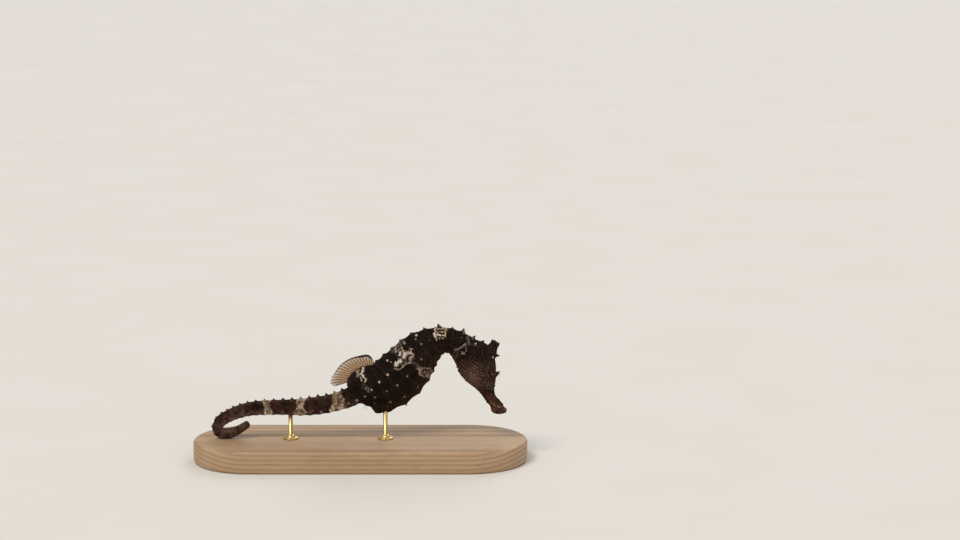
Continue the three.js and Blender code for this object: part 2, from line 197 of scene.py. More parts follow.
def tube_mesh(rows):
    """Points and faces of a closed shape: rings of points, each end closed by a fan."""
    count, columns = rows.shape[:2]
    points = np.vstack([rows.reshape(-1, 3), rows[0].mean(0), rows[-1].mean(0)])
    first, last = count * columns, count * columns + 1
    faces = grid_faces(count, columns).tolist()
    for j in range(columns):
        k = (j + 1) % columns
        faces.append([first, k, j])
        faces.append([last, (count - 1) * columns + j, (count - 1) * columns + k])
    return points, faces


def joined(shapes):
    """One list of points and faces from several."""
    points, faces, start = [], [], 0
    for shape_points, shape_faces in shapes:
        points.append(shape_points)
        faces += [[start + i for i in face] for face in shape_faces]
        start += len(shape_points)
    return np.vstack(points), faces


def frame_across(direction):
    """Two directions square to this one and to each other."""
    direction = unit(np.asarray(direction, float))
    helper = np.array([0.0, 1.0, 0.0]) if abs(direction[1]) < 0.9 else np.array([1.0, 0.0, 0.0])
    first = unit(np.cross(direction, helper))
    return direction, first, np.cross(direction, first)


def turned(root, direction, profile, sides=20, lobes=0, lobe_depth=0.0):
    """A turned shape: profile holds (height, radius) from foot to top, with lobes that grow upwards."""
    axis, first, second = frame_across(direction)
    angles = np.linspace(0, 2 * math.pi, sides, endpoint=False)
    top = profile[-1][0]
    rows = []
    for height, radius in profile:
        lobed = radius * (1 + lobe_depth * np.cos(lobes * angles) * np.clip(height / top, 0, 1))
        ring = np.outer(np.cos(angles) * lobed, first) + np.outer(np.sin(angles) * lobed, second)
        rows.append(np.asarray(root) + axis * height + ring)
    return tube_mesh(np.array(rows))


# ---------- The body's lines, as in the solids ----------

# Stations along the midline, lips to tail tip: x, z, half depth, half width.
STATIONS = np.array([
    # snout
    [53.8, 10.2, 1.1, 0.7], [52.8, 10.5, 1.5, 1.2], [51.4, 11.1, 2.3, 1.6],
    [49.8, 13.3, 2.1, 1.5], [48.3, 15.2, 2.1, 1.6],
    # head
    [47.1, 17.9, 2.8, 2.2], [46.2, 20.7, 4.3, 3.4], [45.0, 23.6, 5.9, 4.1],
    [43.6, 26.6, 7.0, 4.3], [42.3, 29.9, 7.5, 4.1],
    # neck
    [39.3, 32.7, 6.0, 3.8], [36.4, 35.3, 5.0, 3.6], [33.2, 36.6, 4.6, 3.6], [29.8, 36.7, 5.1, 3.8],
    # trunk
    [26.5, 35.3, 6.2, 4.1], [23.5, 33.3, 7.5, 4.7], [20.7, 30.5, 8.5, 5.2],
    [18.1, 27.3, 9.2, 5.6], [15.1, 24.1, 9.7, 5.8], [11.5, 21.1, 9.7, 5.6],
    [7.4, 18.7, 9.1, 5.1], [3.0, 17.6, 7.2, 4.4], [-0.9, 16.7, 4.1, 3.6],
    # tail
    [-5.2, 14.8, 3.2, 3.0], [-10.0, 13.3, 3.0, 2.9], [-15.9, 12.2, 3.0, 2.8],
    [-22.6, 11.6, 2.7, 2.7], [-29.2, 11.6, 2.5, 2.4], [-35.5, 11.4, 2.4, 2.3],
    [-41.1, 10.9, 2.3, 2.2], [-45.5, 9.7, 2.2, 2.1],
    # curl
    [-49.1, 8.1, 2.1, 2.1], [-51.8, 6.3, 2.1, 2.0], [-53.0, 4.0, 1.9, 1.9],
    [-51.9, 2.0, 1.8, 1.8], [-49.4, 1.7, 1.7, 1.7], [-46.6, 2.4, 1.6, 1.5],
    [-44.2, 3.7, 1.4, 1.4], [-42.3, 4.9, 1.3, 1.3],
])

# Left halves of the cross sections, back to belly: share of half depth, share of half width.
HEAD_SECTION = np.array([
    [1, 0], [0.86, 0.45], [0.5, 0.85], [0.1, 1], [-0.2, 0.98], [-0.45, 0.88], [-0.68, 0.7],
    [-0.88, 0.42], [-1, 0],
])
TRUNK_SECTION = np.array([
    [0.93, 0], [0.95, 0.42], [0.68, 0.78], [0.3, 1], [-0.02, 0.96], [-0.28, 0.86], [-0.55, 0.62],
    [-0.76, 0.38], [-1, 0],
])
TAIL_SECTION = np.array([
    [0.86, 0], [1, 0.8], [0.1, 0.86], [-0.92, 0.88], [-0.95, 0.66], [-0.96, 0.45], [-0.97, 0.3],
    [-0.98, 0.15], [-1, 0],
])
SECTION_POINTS = 16
TRUNK_SECTION_SPAN = (26, 34)
TAIL_SECTION_SPAN = (69, 80)
HEAD_END = 28.2

TRUNK_RINGS = [32.4, 35.1, 38.3, 41.9, 45.6, 49.2, 53.2, 58.1, 63.2, 67.7, 71.3]
TAIL_PITCH = 3.36
EVEN_TAIL_RINGS = 12
TIP_PITCH_RATIO = 0.93
SHORTEST_PITCH = 1
FLANK_LEAD = 0.28  # part of a pitch by which a trunk ring's knobs lie ahead on the flanks
TURN_REACH = 0.75  # stations looked ahead and back for the direction of a section

LAST_STATION = len(STATIONS) - 1
STATION_COUNT = np.linspace(0, LAST_STATION, 12001)
MIDLINE_STEPS = np.diff(catmull_rom(STATIONS[:, :2], STATION_COUNT), axis=0)
MIDLINE_RUN = np.concatenate([[0], np.cumsum(np.linalg.norm(MIDLINE_STEPS, axis=1))])
LENGTH = MIDLINE_RUN[-1]
TIP_LENGTH = STATIONS[-1, 2]  # the round end of the tail, past the last station


def all_rings():
    rings = list(TRUNK_RINGS)
    pitch = TAIL_PITCH
    while rings[-1] + pitch < LENGTH:
        rings.append(rings[-1] + pitch)
        if len(rings) >= len(TRUNK_RINGS) + EVEN_TAIL_RINGS:
            pitch = max(pitch * TIP_PITCH_RATIO, SHORTEST_PITCH)
    return np.array(rings)


RINGS = all_rings()


def from_back(place):
    """Places counted from the back down either side, to SECTION_POINTS / 2 at the keel."""
    return np.minimum(place % SECTION_POINTS, -place % SECTION_POINTS)


def rings_passed(s, place=0.0):
    """Counts rings from the neck, with the part of a ring passed: whole numbers are on a ring.

    The trunk's rings bow forwards on the flanks.
    """
    before = 1 + (s - RINGS[0]) / (RINGS[1] - RINGS[0])
    count = np.where(s < RINGS[0], before, np.interp(s, RINGS, np.arange(1, len(RINGS) + 1)))
    down = from_back(place)
    bow = smoothstep(down, 0.9, 2.3) * falling(down, 6.0, 7.8)
    return count + FLANK_LEAD * bow * falling(s, *TAIL_SECTION_SPAN)


def ring_wave(s, place=0.0):
    """1 on each ring and 0 midway between two, faded out over the head."""
    wave = 0.5 + 0.5 * np.cos(2 * math.pi * rings_passed(s, place))
    return wave * smoothstep(s, HEAD_END - 1, RINGS[0] - 1.5)


def ring_place(count):
    """Distance along the midline at a count of rings, whole or in part."""
    first = RINGS[0] + (count - 1) * (RINGS[1] - RINGS[0])
    return first if count < 1 else np.interp(count, np.arange(1, len(RINGS) + 1), RINGS)


def body_frame(s):
    """Middle, direction, up direction, half depth and half width of the section at each s."""
    t = np.interp(s, MIDLINE_RUN, STATION_COUNT)
    rows = catmull_rom(STATIONS, t)
    ahead = catmull_rom(STATIONS, np.minimum(t + TURN_REACH, LAST_STATION))
    behind = catmull_rom(STATIONS, np.maximum(t - TURN_REACH, 0))
    flat = unit((ahead - behind)[:, :2])
    nothing = np.zeros(len(s))
    centre = np.stack([rows[:, 0], nothing, rows[:, 1]], axis=1)
    along = np.stack([flat[:, 0], nothing, flat[:, 1]], axis=1)
    up = np.stack([flat[:, 1], nothing, -flat[:, 0]], axis=1)
    return centre, along, up, rows[:, 2], rows[:, 3]


LEFT = np.array([0.0, 1.0, 0.0])
ELEVATION = math.radians(10)  # the camera looks down by this much
FISH_MIDDLE = 22  # height on the fish at which the camera's scale is exact


def seen_height(points):
    """The height at which the camera sees points of the right side, or a mirrored one those of the left."""
    above = (points[..., 2] - FISH_MIDDLE) * math.cos(ELEVATION)
    return FISH_MIDDLE + above - np.abs(points[..., 1]) * math.sin(ELEVATION)


def body_point(s, rise, side):
    """The point at these shares of the half depth and half width, and the way out of the body there."""
    centre, _, up, depth, width = (part[0] for part in body_frame(np.array([float(s)])))
    point = centre + up * rise * depth + LEFT * side * width
    return point, unit(up * rise * width + LEFT * side * depth)


# ---------- Skin: the loft ----------

ALONG_SAMPLES = 1000
ROUND_SAMPLES = 256
LIP_ROUNDING = 1.0  # length over which the snout's end rounds off
LIP_LENGTH = 0.45  # the lips, past the first station

# Ridges along the body: place round the section, from the back over the left side, height and breadth.
TRUNK_RIDGES = [
    (1, 0.3, 0.6), (15, 0.3, 0.6), (3, 0.3, 0.5), (13, 0.3, 0.5),
    (5, 0.24, 0.45), (11, 0.24, 0.45), (7, 0.2, 0.4), (9, 0.2, 0.4),
]
TAIL_RIDGES = [(1, 0.17, 0.34), (15, 0.17, 0.34), (3, 0.1, 0.34), (13, 0.1, 0.34)]
# Heights of the rings, the grooves between them and the hollows between two rows, and the tail's inset.
TRUNK_RIB = 0.3
TRUNK_GROOVE = 0.14
TRUNK_HOLLOW = 0.1
TAIL_RIB = 0.11
TAIL_GROOVE = 0.05
TAIL_INSET = 0.12
KEEL_ROW = 8
KEEL_HEIGHT = 0.3
KEEL_BREADTH = 0.5
ROW_EDGES = np.arange(-1, SECTION_POINTS + 2, 2)  # the skin is hollow between two rows
# Where the underside stands out or draws in: s, reach along the body and height.
KEEL_SWELLS = [(3.6, 1.0, 0.45), (70.2, 1.9, 0.95), (73.0, 1.3, -0.6)]
SHOULDER_RING = 28.4  # the bony ring behind the gill covers
SHOULDER_HEIGHT = 0.3


def sections(s):
    """The half sections at each s, made whole: [s, place, (rise, side)]."""
    to_trunk = smoothstep(s, *TRUNK_SECTION_SPAN)[:, None, None]
    to_tail = smoothstep(s, *TAIL_SECTION_SPAN)[:, None, None]
    half = mix(mix(HEAD_SECTION, TRUNK_SECTION, to_trunk), TAIL_SECTION, to_tail)
    other = half[:, -2:0:-1] * np.array([1, -1])
    return np.concatenate([half, other], axis=1)


def round_section(whole, places):
    """Smooth closed curves through the section's points."""
    i = places.astype(int) % SECTION_POINTS
    f = (places - np.floor(places))[None, :, None]
    return catmull_rom_piece(*(whole[:, (i + k) % SECTION_POINTS] for k in (-1, 0, 1, 2)), f)


def grid_steps(rows):
    """Steps to the next row along the body and to the next point round it, on a closed grid of points."""
    return np.gradient(rows, axis=0), (np.roll(rows, -1, axis=1) - np.roll(rows, 1, axis=1)) / 2


def surface_normals(rows):
    along, round_it = grid_steps(rows)
    return unit(np.cross(round_it, along))


def loft():
    """Samples of the body's surface with its ribs and ridges: points, s, and the distance round it."""
    s = np.linspace(0.004 - LIP_LENGTH, LENGTH + TIP_LENGTH - 0.004, ALONG_SAMPLES)
    places = np.arange(ROUND_SAMPLES) * SECTION_POINTS / ROUND_SAMPLES
    centre, along, up, depth, width = body_frame(np.clip(s, 0, LENGTH))
    past = np.maximum(s - LENGTH, 0)
    shrink = np.sqrt(1 - (past / TIP_LENGTH) ** 2)
    shrink *= (1 - np.clip(1 - (s + LIP_LENGTH) / LIP_ROUNDING, 0, 1) ** 3) ** (1 / 3)
    centre = centre + along * (past + np.minimum(s, 0))[:, None]
    shares = round_section(sections(s), places)
    rise = (shares[..., 0] * (depth * shrink)[:, None])[..., None]
    side = (shares[..., 1] * (width * shrink)[:, None])[..., None]
    rows = centre[:, None] + up[:, None] * rise + LEFT * side

    steps = np.linalg.norm(np.roll(rows, -1, axis=1) - rows, axis=2)
    run = np.cumsum(steps, axis=1) - steps
    perimeter = steps.sum(axis=1, keepdims=True)

    def distance_to(place):
        away = np.abs(run - run[:, [int(place * ROUND_SAMPLES / SECTION_POINTS)]])
        return np.minimum(away, perimeter - away)

    trunk = (smoothstep(s, *TRUNK_SECTION_SPAN) * falling(s, *TAIL_SECTION_SPAN))[:, None]
    tail = smoothstep(s, *TAIL_SECTION_SPAN)[:, None]
    wave = ring_wave(s[:, None], places[None])
    rib = wave**6
    stout = (depth / 9)[:, None]
    ended = falling(s, LENGTH - 1, LENGTH + 0.5)[:, None]

    rise = np.zeros(run.shape)
    below_rib = 1 - 0.6 * smoothstep(from_back(places), 6.6, 7.6)[None]
    trunk_rib = TRUNK_RIB * rib * below_rib - TRUNK_GROOVE * (1 - wave)
    rise += trunk * trunk_rib * (0.3 + 0.7 * stout)
    tail_rib = TAIL_RIB * rib - TAIL_GROOVE * (1 - wave) - TAIL_INSET
    rise += tail * ended * tail_rib * np.clip((depth / 3)[:, None], 0.5, 1)
    for place, height, breadth in TRUNK_RIDGES:
        rise += trunk * height * (0.35 + 0.65 * wave) * ridge(distance_to(place), breadth)
    keel = KEEL_HEIGHT * stout**2 * (0.4 + 0.6 * wave)
    rise += trunk * keel * ridge(distance_to(KEEL_ROW), KEEL_BREADTH)
    underside = smoothstep(from_back(places), 5.5, 8)[None]
    for middle, reach, height in KEEL_SWELLS:
        rise += height * underside * ridge((s - middle)[:, None], reach)
    for place, height, breadth in TAIL_RIDGES:
        rise += tail * ended * height * (0.3 + 0.7 * wave) * ridge(distance_to(place), breadth)
    next_row = np.searchsorted(ROW_EDGES, places, side="right")
    low, high = ROW_EDGES[next_row - 1], ROW_EDGES[next_row]
    hollow = np.sin(math.pi * (places - low) / (high - low)) ** 2
    rise -= trunk * hollow * (TRUNK_HOLLOW + TRUNK_GROOVE * (1 - wave)) * stout
    shoulder = ridge((s - SHOULDER_RING)[:, None], 0.55)
    rise += SHOULDER_HEIGHT * shoulder * smoothstep(np.abs(shares[..., 1]), 0.25, 0.6)
    rows = rows + surface_normals(rows) * rise[..., None]
    return {"rows": rows, "s": s, "run": run, "perimeter": perimeter[:, 0]}


# ---------- Skin: spines, coronet, orbits and fin wedge ----------

SPINE_SINK = 0.7
# Turned shapes: shares of the height and of the foot's radius.
SPINE_PROFILE = [
    (0, 1), (0.12, 0.78), (0.3, 0.56), (0.5, 0.42), (0.7, 0.33), (0.85, 0.26), (0.95, 0.17), (1, 0.04),
]
TAIL_KNOB_PROFILE = [(0, 1), (0.2, 0.86), (0.45, 0.74), (0.7, 0.62), (0.88, 0.48), (0.97, 0.28), (1, 0.04)]
BUMP_PROFILE = [(0, 1), (0.2, 0.96), (0.45, 0.84), (0.7, 0.65), (0.88, 0.42), (0.97, 0.2), (1, 0.04)]


def spine(root, direction, height, foot, profile=SPINE_PROFILE, sink=SPINE_SINK):
    """A thorn with a flared foot and a rounded tip, or another turned shape that stands on the skin."""
    whole = [(-sink, foot)] + [(height * share, foot * radius) for share, radius in profile]
    return turned(root, direction, whole, sides=14)


# Where the rows of spines run: shares of the half depth and half width.
BACK_ROW = (0.95, 0.42)
SIDE_ROW = (0.3, 1)
BELLY_ROW = (-0.28, 0.86)
TAIL_ROW = (1, 0.8)
# Heights of the spines of the back and the keel, ring by ring, and of the others.
BACK_SPINES = [1.6, 1, 1.6, 1.2, 1.1, 1, 0.9, 0.8, 0.8]
KEEL_SPINES = [0.1, 0.1, 0.15, 0.2, 0.4, 0.5, 0.6, 0.7, 1, 0.7, 0.6]
SIDE_SPINE = 0.5
BELLY_SPINE = 0.4
TAIL_SPINE_SHARE = 0.28  # of the tail's half depth
SPINED_TAIL_RINGS = 20
SPINE_FOOT = 0.72  # radius of a spine's foot over its height
THINNEST_FOOT = 0.34
KNOB_FOOT = 1.3  # radius of a knob's foot over that of its pale spot
KNOB_SINK = 0.3
FIRST_MEASURED_RING = 6  # from here back the flanks carry the knobs below

# Knobs and dots on the flanks: x, height as the camera sees it, radius, height of the knob and paleness.
FLANK_KNOBS = [
    # side row, which runs on into the tail's lower corner
    (10.5, 24.2, 0.46, 0.36, 0.8), (7.4, 21.5, 0.46, 0.36, 0.75), (4.5, 18.5, 0.4, 0.34, 0.62),
    (2.1, 15.9, 0.38, 0.3, 0.36), (-1.1, 14.4, 0.42, 0.3, 0.4), (-4.1, 13.2, 0.38, 0.26, 0.34),
    (-14.4, 10.2, 0.36, 0.2, 0.4), (-17.2, 10.6, 0.2, 0.1, 0.3),
    # middle row
    (17.7, 23.7, 0.38, 0.3, 0.26), (14.0, 20.3, 0.42, 0.3, 0.3), (10.0, 17.9, 0.34, 0.28, 0.14),
    (5.7, 15.7, 0.36, 0.28, 0.12),
    # lower row
    (21.6, 19.5, 0.42, 0.3, 0.3), (16.6, 15.9, 0.4, 0.3, 0.3), (11.4, 13.9, 0.4, 0.3, 0.2),
    (5.3, 13.5, 0.36, 0.3, 0.16),
    # upper flank and neck
    (10.3, 29.4, 0.42, 0.12, 0.9), (11.7, 28.9, 0.26, 0.06, 0.6), (20.9, 38.7, 0.46, 0.26, 0.8),
    (20.7, 37.2, 0.34, 0.1, 0.4), (22.9, 35.4, 0.4, 0.28, 0.42), (18.1, 32.8, 0.34, 0.2, 0.4),
    (23.0, 29.9, 0.4, 0.3, 0.16), (25.9, 36.9, 0.22, 0.08, 0.2), (16.3, 35.9, 0.3, 0.2, 0.4),
    (37.7, 37.8, 0.22, 0.1, 0.2),
    # head
    (42.8, 35.6, 0.36, 0.14, 0.85), (49.2, 30.4, 0.38, 0.14, 0.85), (48.8, 16.7, 0.22, 0.08, 0.4),
]


def on_body(s, rise, side, height, foot_share=SPINE_FOOT, lean=0.0, profile=SPINE_PROFILE):
    """A spine standing out of the body, leaned back towards the tail by a share of its height."""
    point, out = body_point(s, rise, side)
    along = body_frame(np.array([float(s)]))[1][0]
    foot = max(height * foot_share, THINNEST_FOOT)
    return spine(point, unit(out + along * lean), height, foot, profile)


def both_sides(s, row, height, **shape):
    rise, side = row
    return [on_body(s, rise, hand * side, height, **shape) for hand in (1, -1)]


def body_spines():
    spines = []
    for ring, s in enumerate(TRUNK_RINGS):
        flank = ring_place(ring + 1 - FLANK_LEAD)
        if ring < len(BACK_SPINES):
            spines += both_sides(s, BACK_ROW, BACK_SPINES[ring], lean=0.12)
        if ring < FIRST_MEASURED_RING:
            spines += both_sides(flank, SIDE_ROW, SIDE_SPINE)
            spines += both_sides(flank, BELLY_ROW, BELLY_SPINE)
        spines.append(on_body(s, -1, 0, KEEL_SPINES[ring], lean=0.1))
    for ring in range(SPINED_TAIL_RINGS):
        s = RINGS[len(TRUNK_RINGS) + ring]
        depth = body_frame(np.array([s]))[3][0]
        height = depth * TAIL_SPINE_SHARE
        spines += both_sides(s, TAIL_ROW, height, lean=0.15, profile=TAIL_KNOB_PROFILE)
    return spines


def flank_bumps(body):
    """The rounded pale knobs of the flanks, on both sides: shapes, and the middle and look of each."""
    flank = body["rows"].reshape(-1, 3)
    normals = surface_normals(body["rows"]).reshape(-1, 3)
    seen = seen_height(flank)
    shapes, knobs = [], []
    for x, z, radius, height, paleness in FLANK_KNOBS:
        away = np.hypot(flank[:, 0] - x, seen - z)
        outermost = np.argmin(np.where(away < 0.12, flank[:, 1], 99))
        for hand in (1, -1):
            mirror = np.array([1, hand, 1])
            middle, out = flank[outermost] * mirror, normals[outermost] * mirror
            foot = radius * KNOB_FOOT
            shapes.append(spine(middle - 0.05 * out, out, height, foot, BUMP_PROFILE, KNOB_SINK))
            knobs.append((middle + out * height * 0.6, radius, paleness))
    return shapes, knobs


EYE_S = 12.9
EYE_RISE = 0.3
EYE_CENTRE = body_point(EYE_S, EYE_RISE, 0)[0]
EYE_RADIUS = 1.78
EYE_LATERAL = 2.66
EYE_OPENING = 1.08
ORBIT_RADIUS = 2.35
ORBIT_LATERAL = 2.1
RIM_LATERAL = EYE_LATERAL + 1.28
RIM_RADIUS = EYE_OPENING + 0.2
RIM_THICKNESS = 0.24
BROW_ROOT = (49.4, 0, 31.4)
BROW_WAY = (0.99, 0, -0.14)
BROW_PROFILE = [
    (-2.6, 0.3), (-1.8, 0.8), (-1, 1.15), (-0.3, 1.32), (0.2, 1.26), (0.7, 1.05), (1.1, 0.78),
    (1.45, 0.5), (1.8, 0.33), (2.15, 0.22), (2.45, 0.14), (2.6, 0.04),
]


def head_spines():
    return [
        *both_sides(15.3, (0.95, 0.28), 1.9, foot_share=0.52),
        on_body(11.6, 1, 0, 0.5),
        turned(BROW_ROOT, BROW_WAY, BROW_PROFILE),
        on_body(26, 1, 0, 1.0),
        on_body(29.1, 0.98, 0, 1.3),
        *both_sides(26.2, (-0.97, 0.2), 0.6),
        *both_sides(17.4, (-0.97, 0.2), 0.5),
        on_body(7, -1, 0, 0.5),
    ]


CORONET_FOOT = (48.4, 0, 33.1)
CORONET_LEAN = math.radians(31)
CORONET_PROFILE = [
    (-2.6, 1.2), (-1.6, 2.2), (-0.7, 2.6), (0.3, 2.4), (1.1, 2.05), (1.9, 1.72), (2.7, 1.55),
    (3.3, 1.58), (3.7, 1.62), (3.85, 1.45), (3.7, 1.1), (3.45, 0.6), (3.35, 0.15),
]
CORONET_POINTS = 5
CORONET_LOBES = 0.14  # share of the radius by which the top is lobed
POINT_HEIGHT = 0.85
POINT_FOOT = 0.62
POINT_ROOT_RISE = 3.3
POINT_ROOT_REACH = 1.35
POINT_SPREAD = 0.55


def coronet():
    """The crown: a flared, waisted stalk with a hollow top and five spreading points."""
    axis, first, second = frame_across([math.sin(CORONET_LEAN), 0, math.cos(CORONET_LEAN)])
    shapes = [turned(CORONET_FOOT, axis, CORONET_PROFILE, 40, CORONET_POINTS, CORONET_LOBES)]
    for point in range(CORONET_POINTS):
        angle = 2 * math.pi * point / CORONET_POINTS
        outward = first * math.cos(angle) + second * math.sin(angle)
        root = np.array(CORONET_FOOT) + axis * POINT_ROOT_RISE + outward * POINT_ROOT_REACH
        shapes.append(spine(root, outward * POINT_SPREAD + axis, POINT_HEIGHT, POINT_FOOT))
    return shapes


def ball(centre, radius, rings=22, sides=36):
    angles = np.linspace(math.pi - 0.02, 0.02, rings)
    profile = [(radius * math.cos(a), radius * math.sin(a)) for a in angles]
    return turned(centre, (0, 1, 0), profile, sides)


def torus(centre, direction, major, minor, sides=48, round_it=12):
    axis, first, second = frame_across(direction)
    a = np.linspace(0, 2 * math.pi, sides, endpoint=False)[:, None, None]
    b = np.linspace(0, 2 * math.pi, round_it, endpoint=False)[None, :, None]
    spoke = np.cos(a) * first + np.sin(a) * second
    points = np.asarray(centre) + spoke * (major + minor * np.cos(b)) + axis * (minor * np.sin(b))
    faces = grid_faces(sides, round_it).tolist()
    last = (sides - 1) * round_it
    faces += [[last + j, last + (j + 1) % round_it, (j + 1) % round_it, j] for j in range(round_it)]
    return points.reshape(-1, 3), faces


def orbits():
    shapes = []
    for hand in (1, -1):
        shapes.append(ball(EYE_CENTRE + LEFT * hand * ORBIT_LATERAL, ORBIT_RADIUS))
        shapes.append(torus(EYE_CENTRE + LEFT * hand * RIM_LATERAL, (0, hand, 0), RIM_RADIUS, RIM_THICKNESS))
    return shapes


FIN_WEDGE = np.array([
    [5.9, 26.4], [5.2, 27.7], [1.9, 27.1], [-1.1, 26], [-3.3, 23.8], [-4.8, 21.2],
    [-4.2, 19], [0, 18], [5, 21],
])
FIN_WEDGE_MIDDLE = np.array([1.0, 20.5])
# Half thickness of the wedge at shares of the way from its middle to its rim.
WEDGE_SWELL = [(0.2, 3.4), (0.45, 3.1), (0.65, 2.6), (0.8, 2.0), (0.9, 1.45), (0.96, 1.0), (1.0, 0.45)]


def fin_wedge():
    """The raised flesh that carries the dorsal fin, thick at its foot and thin at its crest."""
    count = 60
    rim = along_curve(np.vstack([FIN_WEDGE, FIN_WEDGE[:1]]), np.arange(count) / count)
    rows = []
    for share, half in WEDGE_SWELL:
        ring = FIN_WEDGE_MIDDLE + (rim - FIN_WEDGE_MIDDLE) * share
        rows.append(np.stack([ring[:, 0], np.full(count, half), ring[:, 1]], axis=1))
    back = [row * np.array([1, -1, 1]) for row in reversed(rows)]
    return [tube_mesh(np.array(rows + back))]


VOXEL = 0.12
RELAX_ROUNDS = 2
FILL_ROUNDS = 14
UNFILLED_DEPTH = 0.004


def remeshed(shapes):
    """The shapes' outer surface as one even mesh."""
    piece = new_mesh("rough_skin", *joined(shapes))
    modifier = piece.modifiers.new("voxels", "REMESH")
    modifier.mode = "VOXEL"
    modifier.voxel_size = VOXEL
    evaluated = piece.evaluated_get(bpy.context.evaluated_depsgraph_get())
    mesh = bpy.data.meshes.new_from_object(evaluated)
    bpy.data.objects.remove(piece)
    return mesh


def averaged(values, pairs, count):
    """The mean over each point's neighbours."""
    a, b = pairs[:, 0], pairs[:, 1]
    total = np.zeros_like(values)
    for column in range(values.shape[1]):
        total[:, column] = np.bincount(a, values[b, column], count) + np.bincount(b, values[a, column], count)
    neighbours = np.bincount(a, minlength=count) + np.bincount(b, minlength=count)
    return total / np.maximum(neighbours, 1)[:, None]


def relaxed(points, pairs):
    for _ in range(RELAX_ROUNDS):
        points = mix(points, averaged(points, pairs, len(points)), 0.5)
    return points


def filled_creases(points, normals, pairs):
    """Fills the sharp valleys where shapes meet, and leaves the rest."""
    for _ in range(FILL_ROUNDS):
        sunk = ((averaged(points, pairs, len(points)) - points) * normals).sum(axis=1)
        points = points + normals * (0.6 * np.clip(sunk - UNFILLED_DEPTH, 0, None))[:, None]
    return points


LONGEST_STEP = 0.6  # how far from its nearest sample a point may lie, in samples


def place_on_loft(points, body):
    """For each point: its s, its place and distance round the section, and its height over the loft."""
    rows = body["rows"]
    flat = rows.reshape(-1, 3)
    tree = kdtree.KDTree(len(flat))
    for i, point in enumerate(flat.tolist()):
        tree.insert(point, i)
    tree.balance()
    nearest = np.array([tree.find(point)[1] for point in points.tolist()])
    i, j = np.divmod(nearest, rows.shape[1])
    step_s = np.gradient(body["s"])[i]
    along, round_it = (steps.reshape(-1, 3)[nearest] for steps in grid_steps(rows))
    normal = surface_normals(rows).reshape(-1, 3)[nearest]
    away = points - flat[nearest]
    height = (away * normal).sum(axis=1)

    def steps_along(way):
        steps = (away * way).sum(axis=1) / np.maximum((way**2).sum(axis=1), 1e-9)
        return np.clip(steps, -LONGEST_STEP, LONGEST_STEP)

    share_u = steps_along(round_it)
    place = (j + share_u) * SECTION_POINTS / rows.shape[1]
    run = body["run"].reshape(-1)[nearest] + share_u * np.linalg.norm(round_it, axis=1)
    return {
        "s": body["s"][i] + steps_along(along) * step_s,
        "place": place % SECTION_POINTS,
        "run": run,
        "perimeter": body["perimeter"][i],
        "height": height,
        "off": np.linalg.norm(away - normal * height[:, None], axis=1),
        "normal": normal,
    }


# ---------- Skin: the head's fine shape ----------

GILL_COVER_MIDDLE = (41.4, 26.4)
GILL_COVER_REACH = (5.6, 4.6)
GILL_COVER_TILT = math.radians(-62)
NOSTRIL = body_point(10.6, 0.62, 0)[0]
NOSTRIL_RADIUS = 0.2
EYE_WRINKLES = 22
MOUTH = np.array([[53.5, 9.2], [53.0, 10.0], [52.4, 10.7], [51.8, 11.5]])
GILL_SLIT = np.array([[38.9, 31.6], [38.2, 30.9], [37.8, 30.1]])


def distance_to_path(x, z, path):
    """Distance from each point to a line of straight pieces in x and z."""
    nearest = np.full(x.shape, np.inf)
    for (ax, az), (bx, bz) in zip(path[:-1], path[1:]):
        dx, dz = bx - ax, bz - az
        share = np.clip(((x - ax) * dx + (z - az) * dz) / (dx * dx + dz * dz), 0, 1)
        nearest = np.minimum(nearest, np.hypot(x - ax - share * dx, z - az - share * dz))
    return nearest


def from_gill_cover(x, z):
    """Distance from the gill cover's middle, where 1 is its edge."""
    across, up = math.cos(GILL_COVER_TILT), math.sin(GILL_COVER_TILT)
    dx, dz = x - GILL_COVER_MIDDLE[0], z - GILL_COVER_MIDDLE[1]
    along = (dx * across + dz * up) / GILL_COVER_REACH[0]
    beside = (dz * across - dx * up) / GILL_COVER_REACH[1]
    return np.hypot(along, beside)


def head_relief(points, where):
    """Gill covers, lips, nostrils and the wrinkles round the eyes."""
    x, y, z = points.T
    s = where["s"]
    flank = smoothstep(np.abs(y), 0.9, 2.2)
    beside_snout = smoothstep(np.abs(y), 0.3, 0.7)
    head = falling(s, HEAD_END - 1, HEAD_END + 0.5)
    from_eye = np.hypot(x - EYE_CENTRE[0], z - EYE_CENTRE[2])
    eye_angle = np.arctan2(z - EYE_CENTRE[2], x - EYE_CENTRE[0])
    radius = from_gill_cover(x, z)
    cover = 0.42 * falling(radius, 0.3, 1.0) - 0.3 * ridge(radius - 1.06, 0.09)
    relief = head * flank * smoothstep(from_eye, 2.6, 3.8) * cover
    wrinkled = smoothstep(from_eye, 1.4, 1.7) * falling(from_eye, 2.3, 2.9) * flank
    relief += 0.05 * wrinkled * np.cos(EYE_WRINKLES * eye_angle)
    relief -= 0.16 * ridge(from_eye - 2.75, 0.3) * flank * head
    relief -= 0.28 * falling(s, 3, 5) * ridge(distance_to_path(x, z, MOUTH), 0.16)
    for shift in (0, 0.7):
        away = np.hypot(x - NOSTRIL[0] - shift * 0.5, z - NOSTRIL[2] + shift)
        relief -= 0.25 * ridge(away, NOSTRIL_RADIUS) * beside_snout * head
        relief += 0.1 * ridge(away - 0.35, 0.14) * beside_snout * head
    relief -= 0.35 * ridge(distance_to_path(x, z, GILL_SLIT), 0.2) * flank * (s < 33)
    return relief


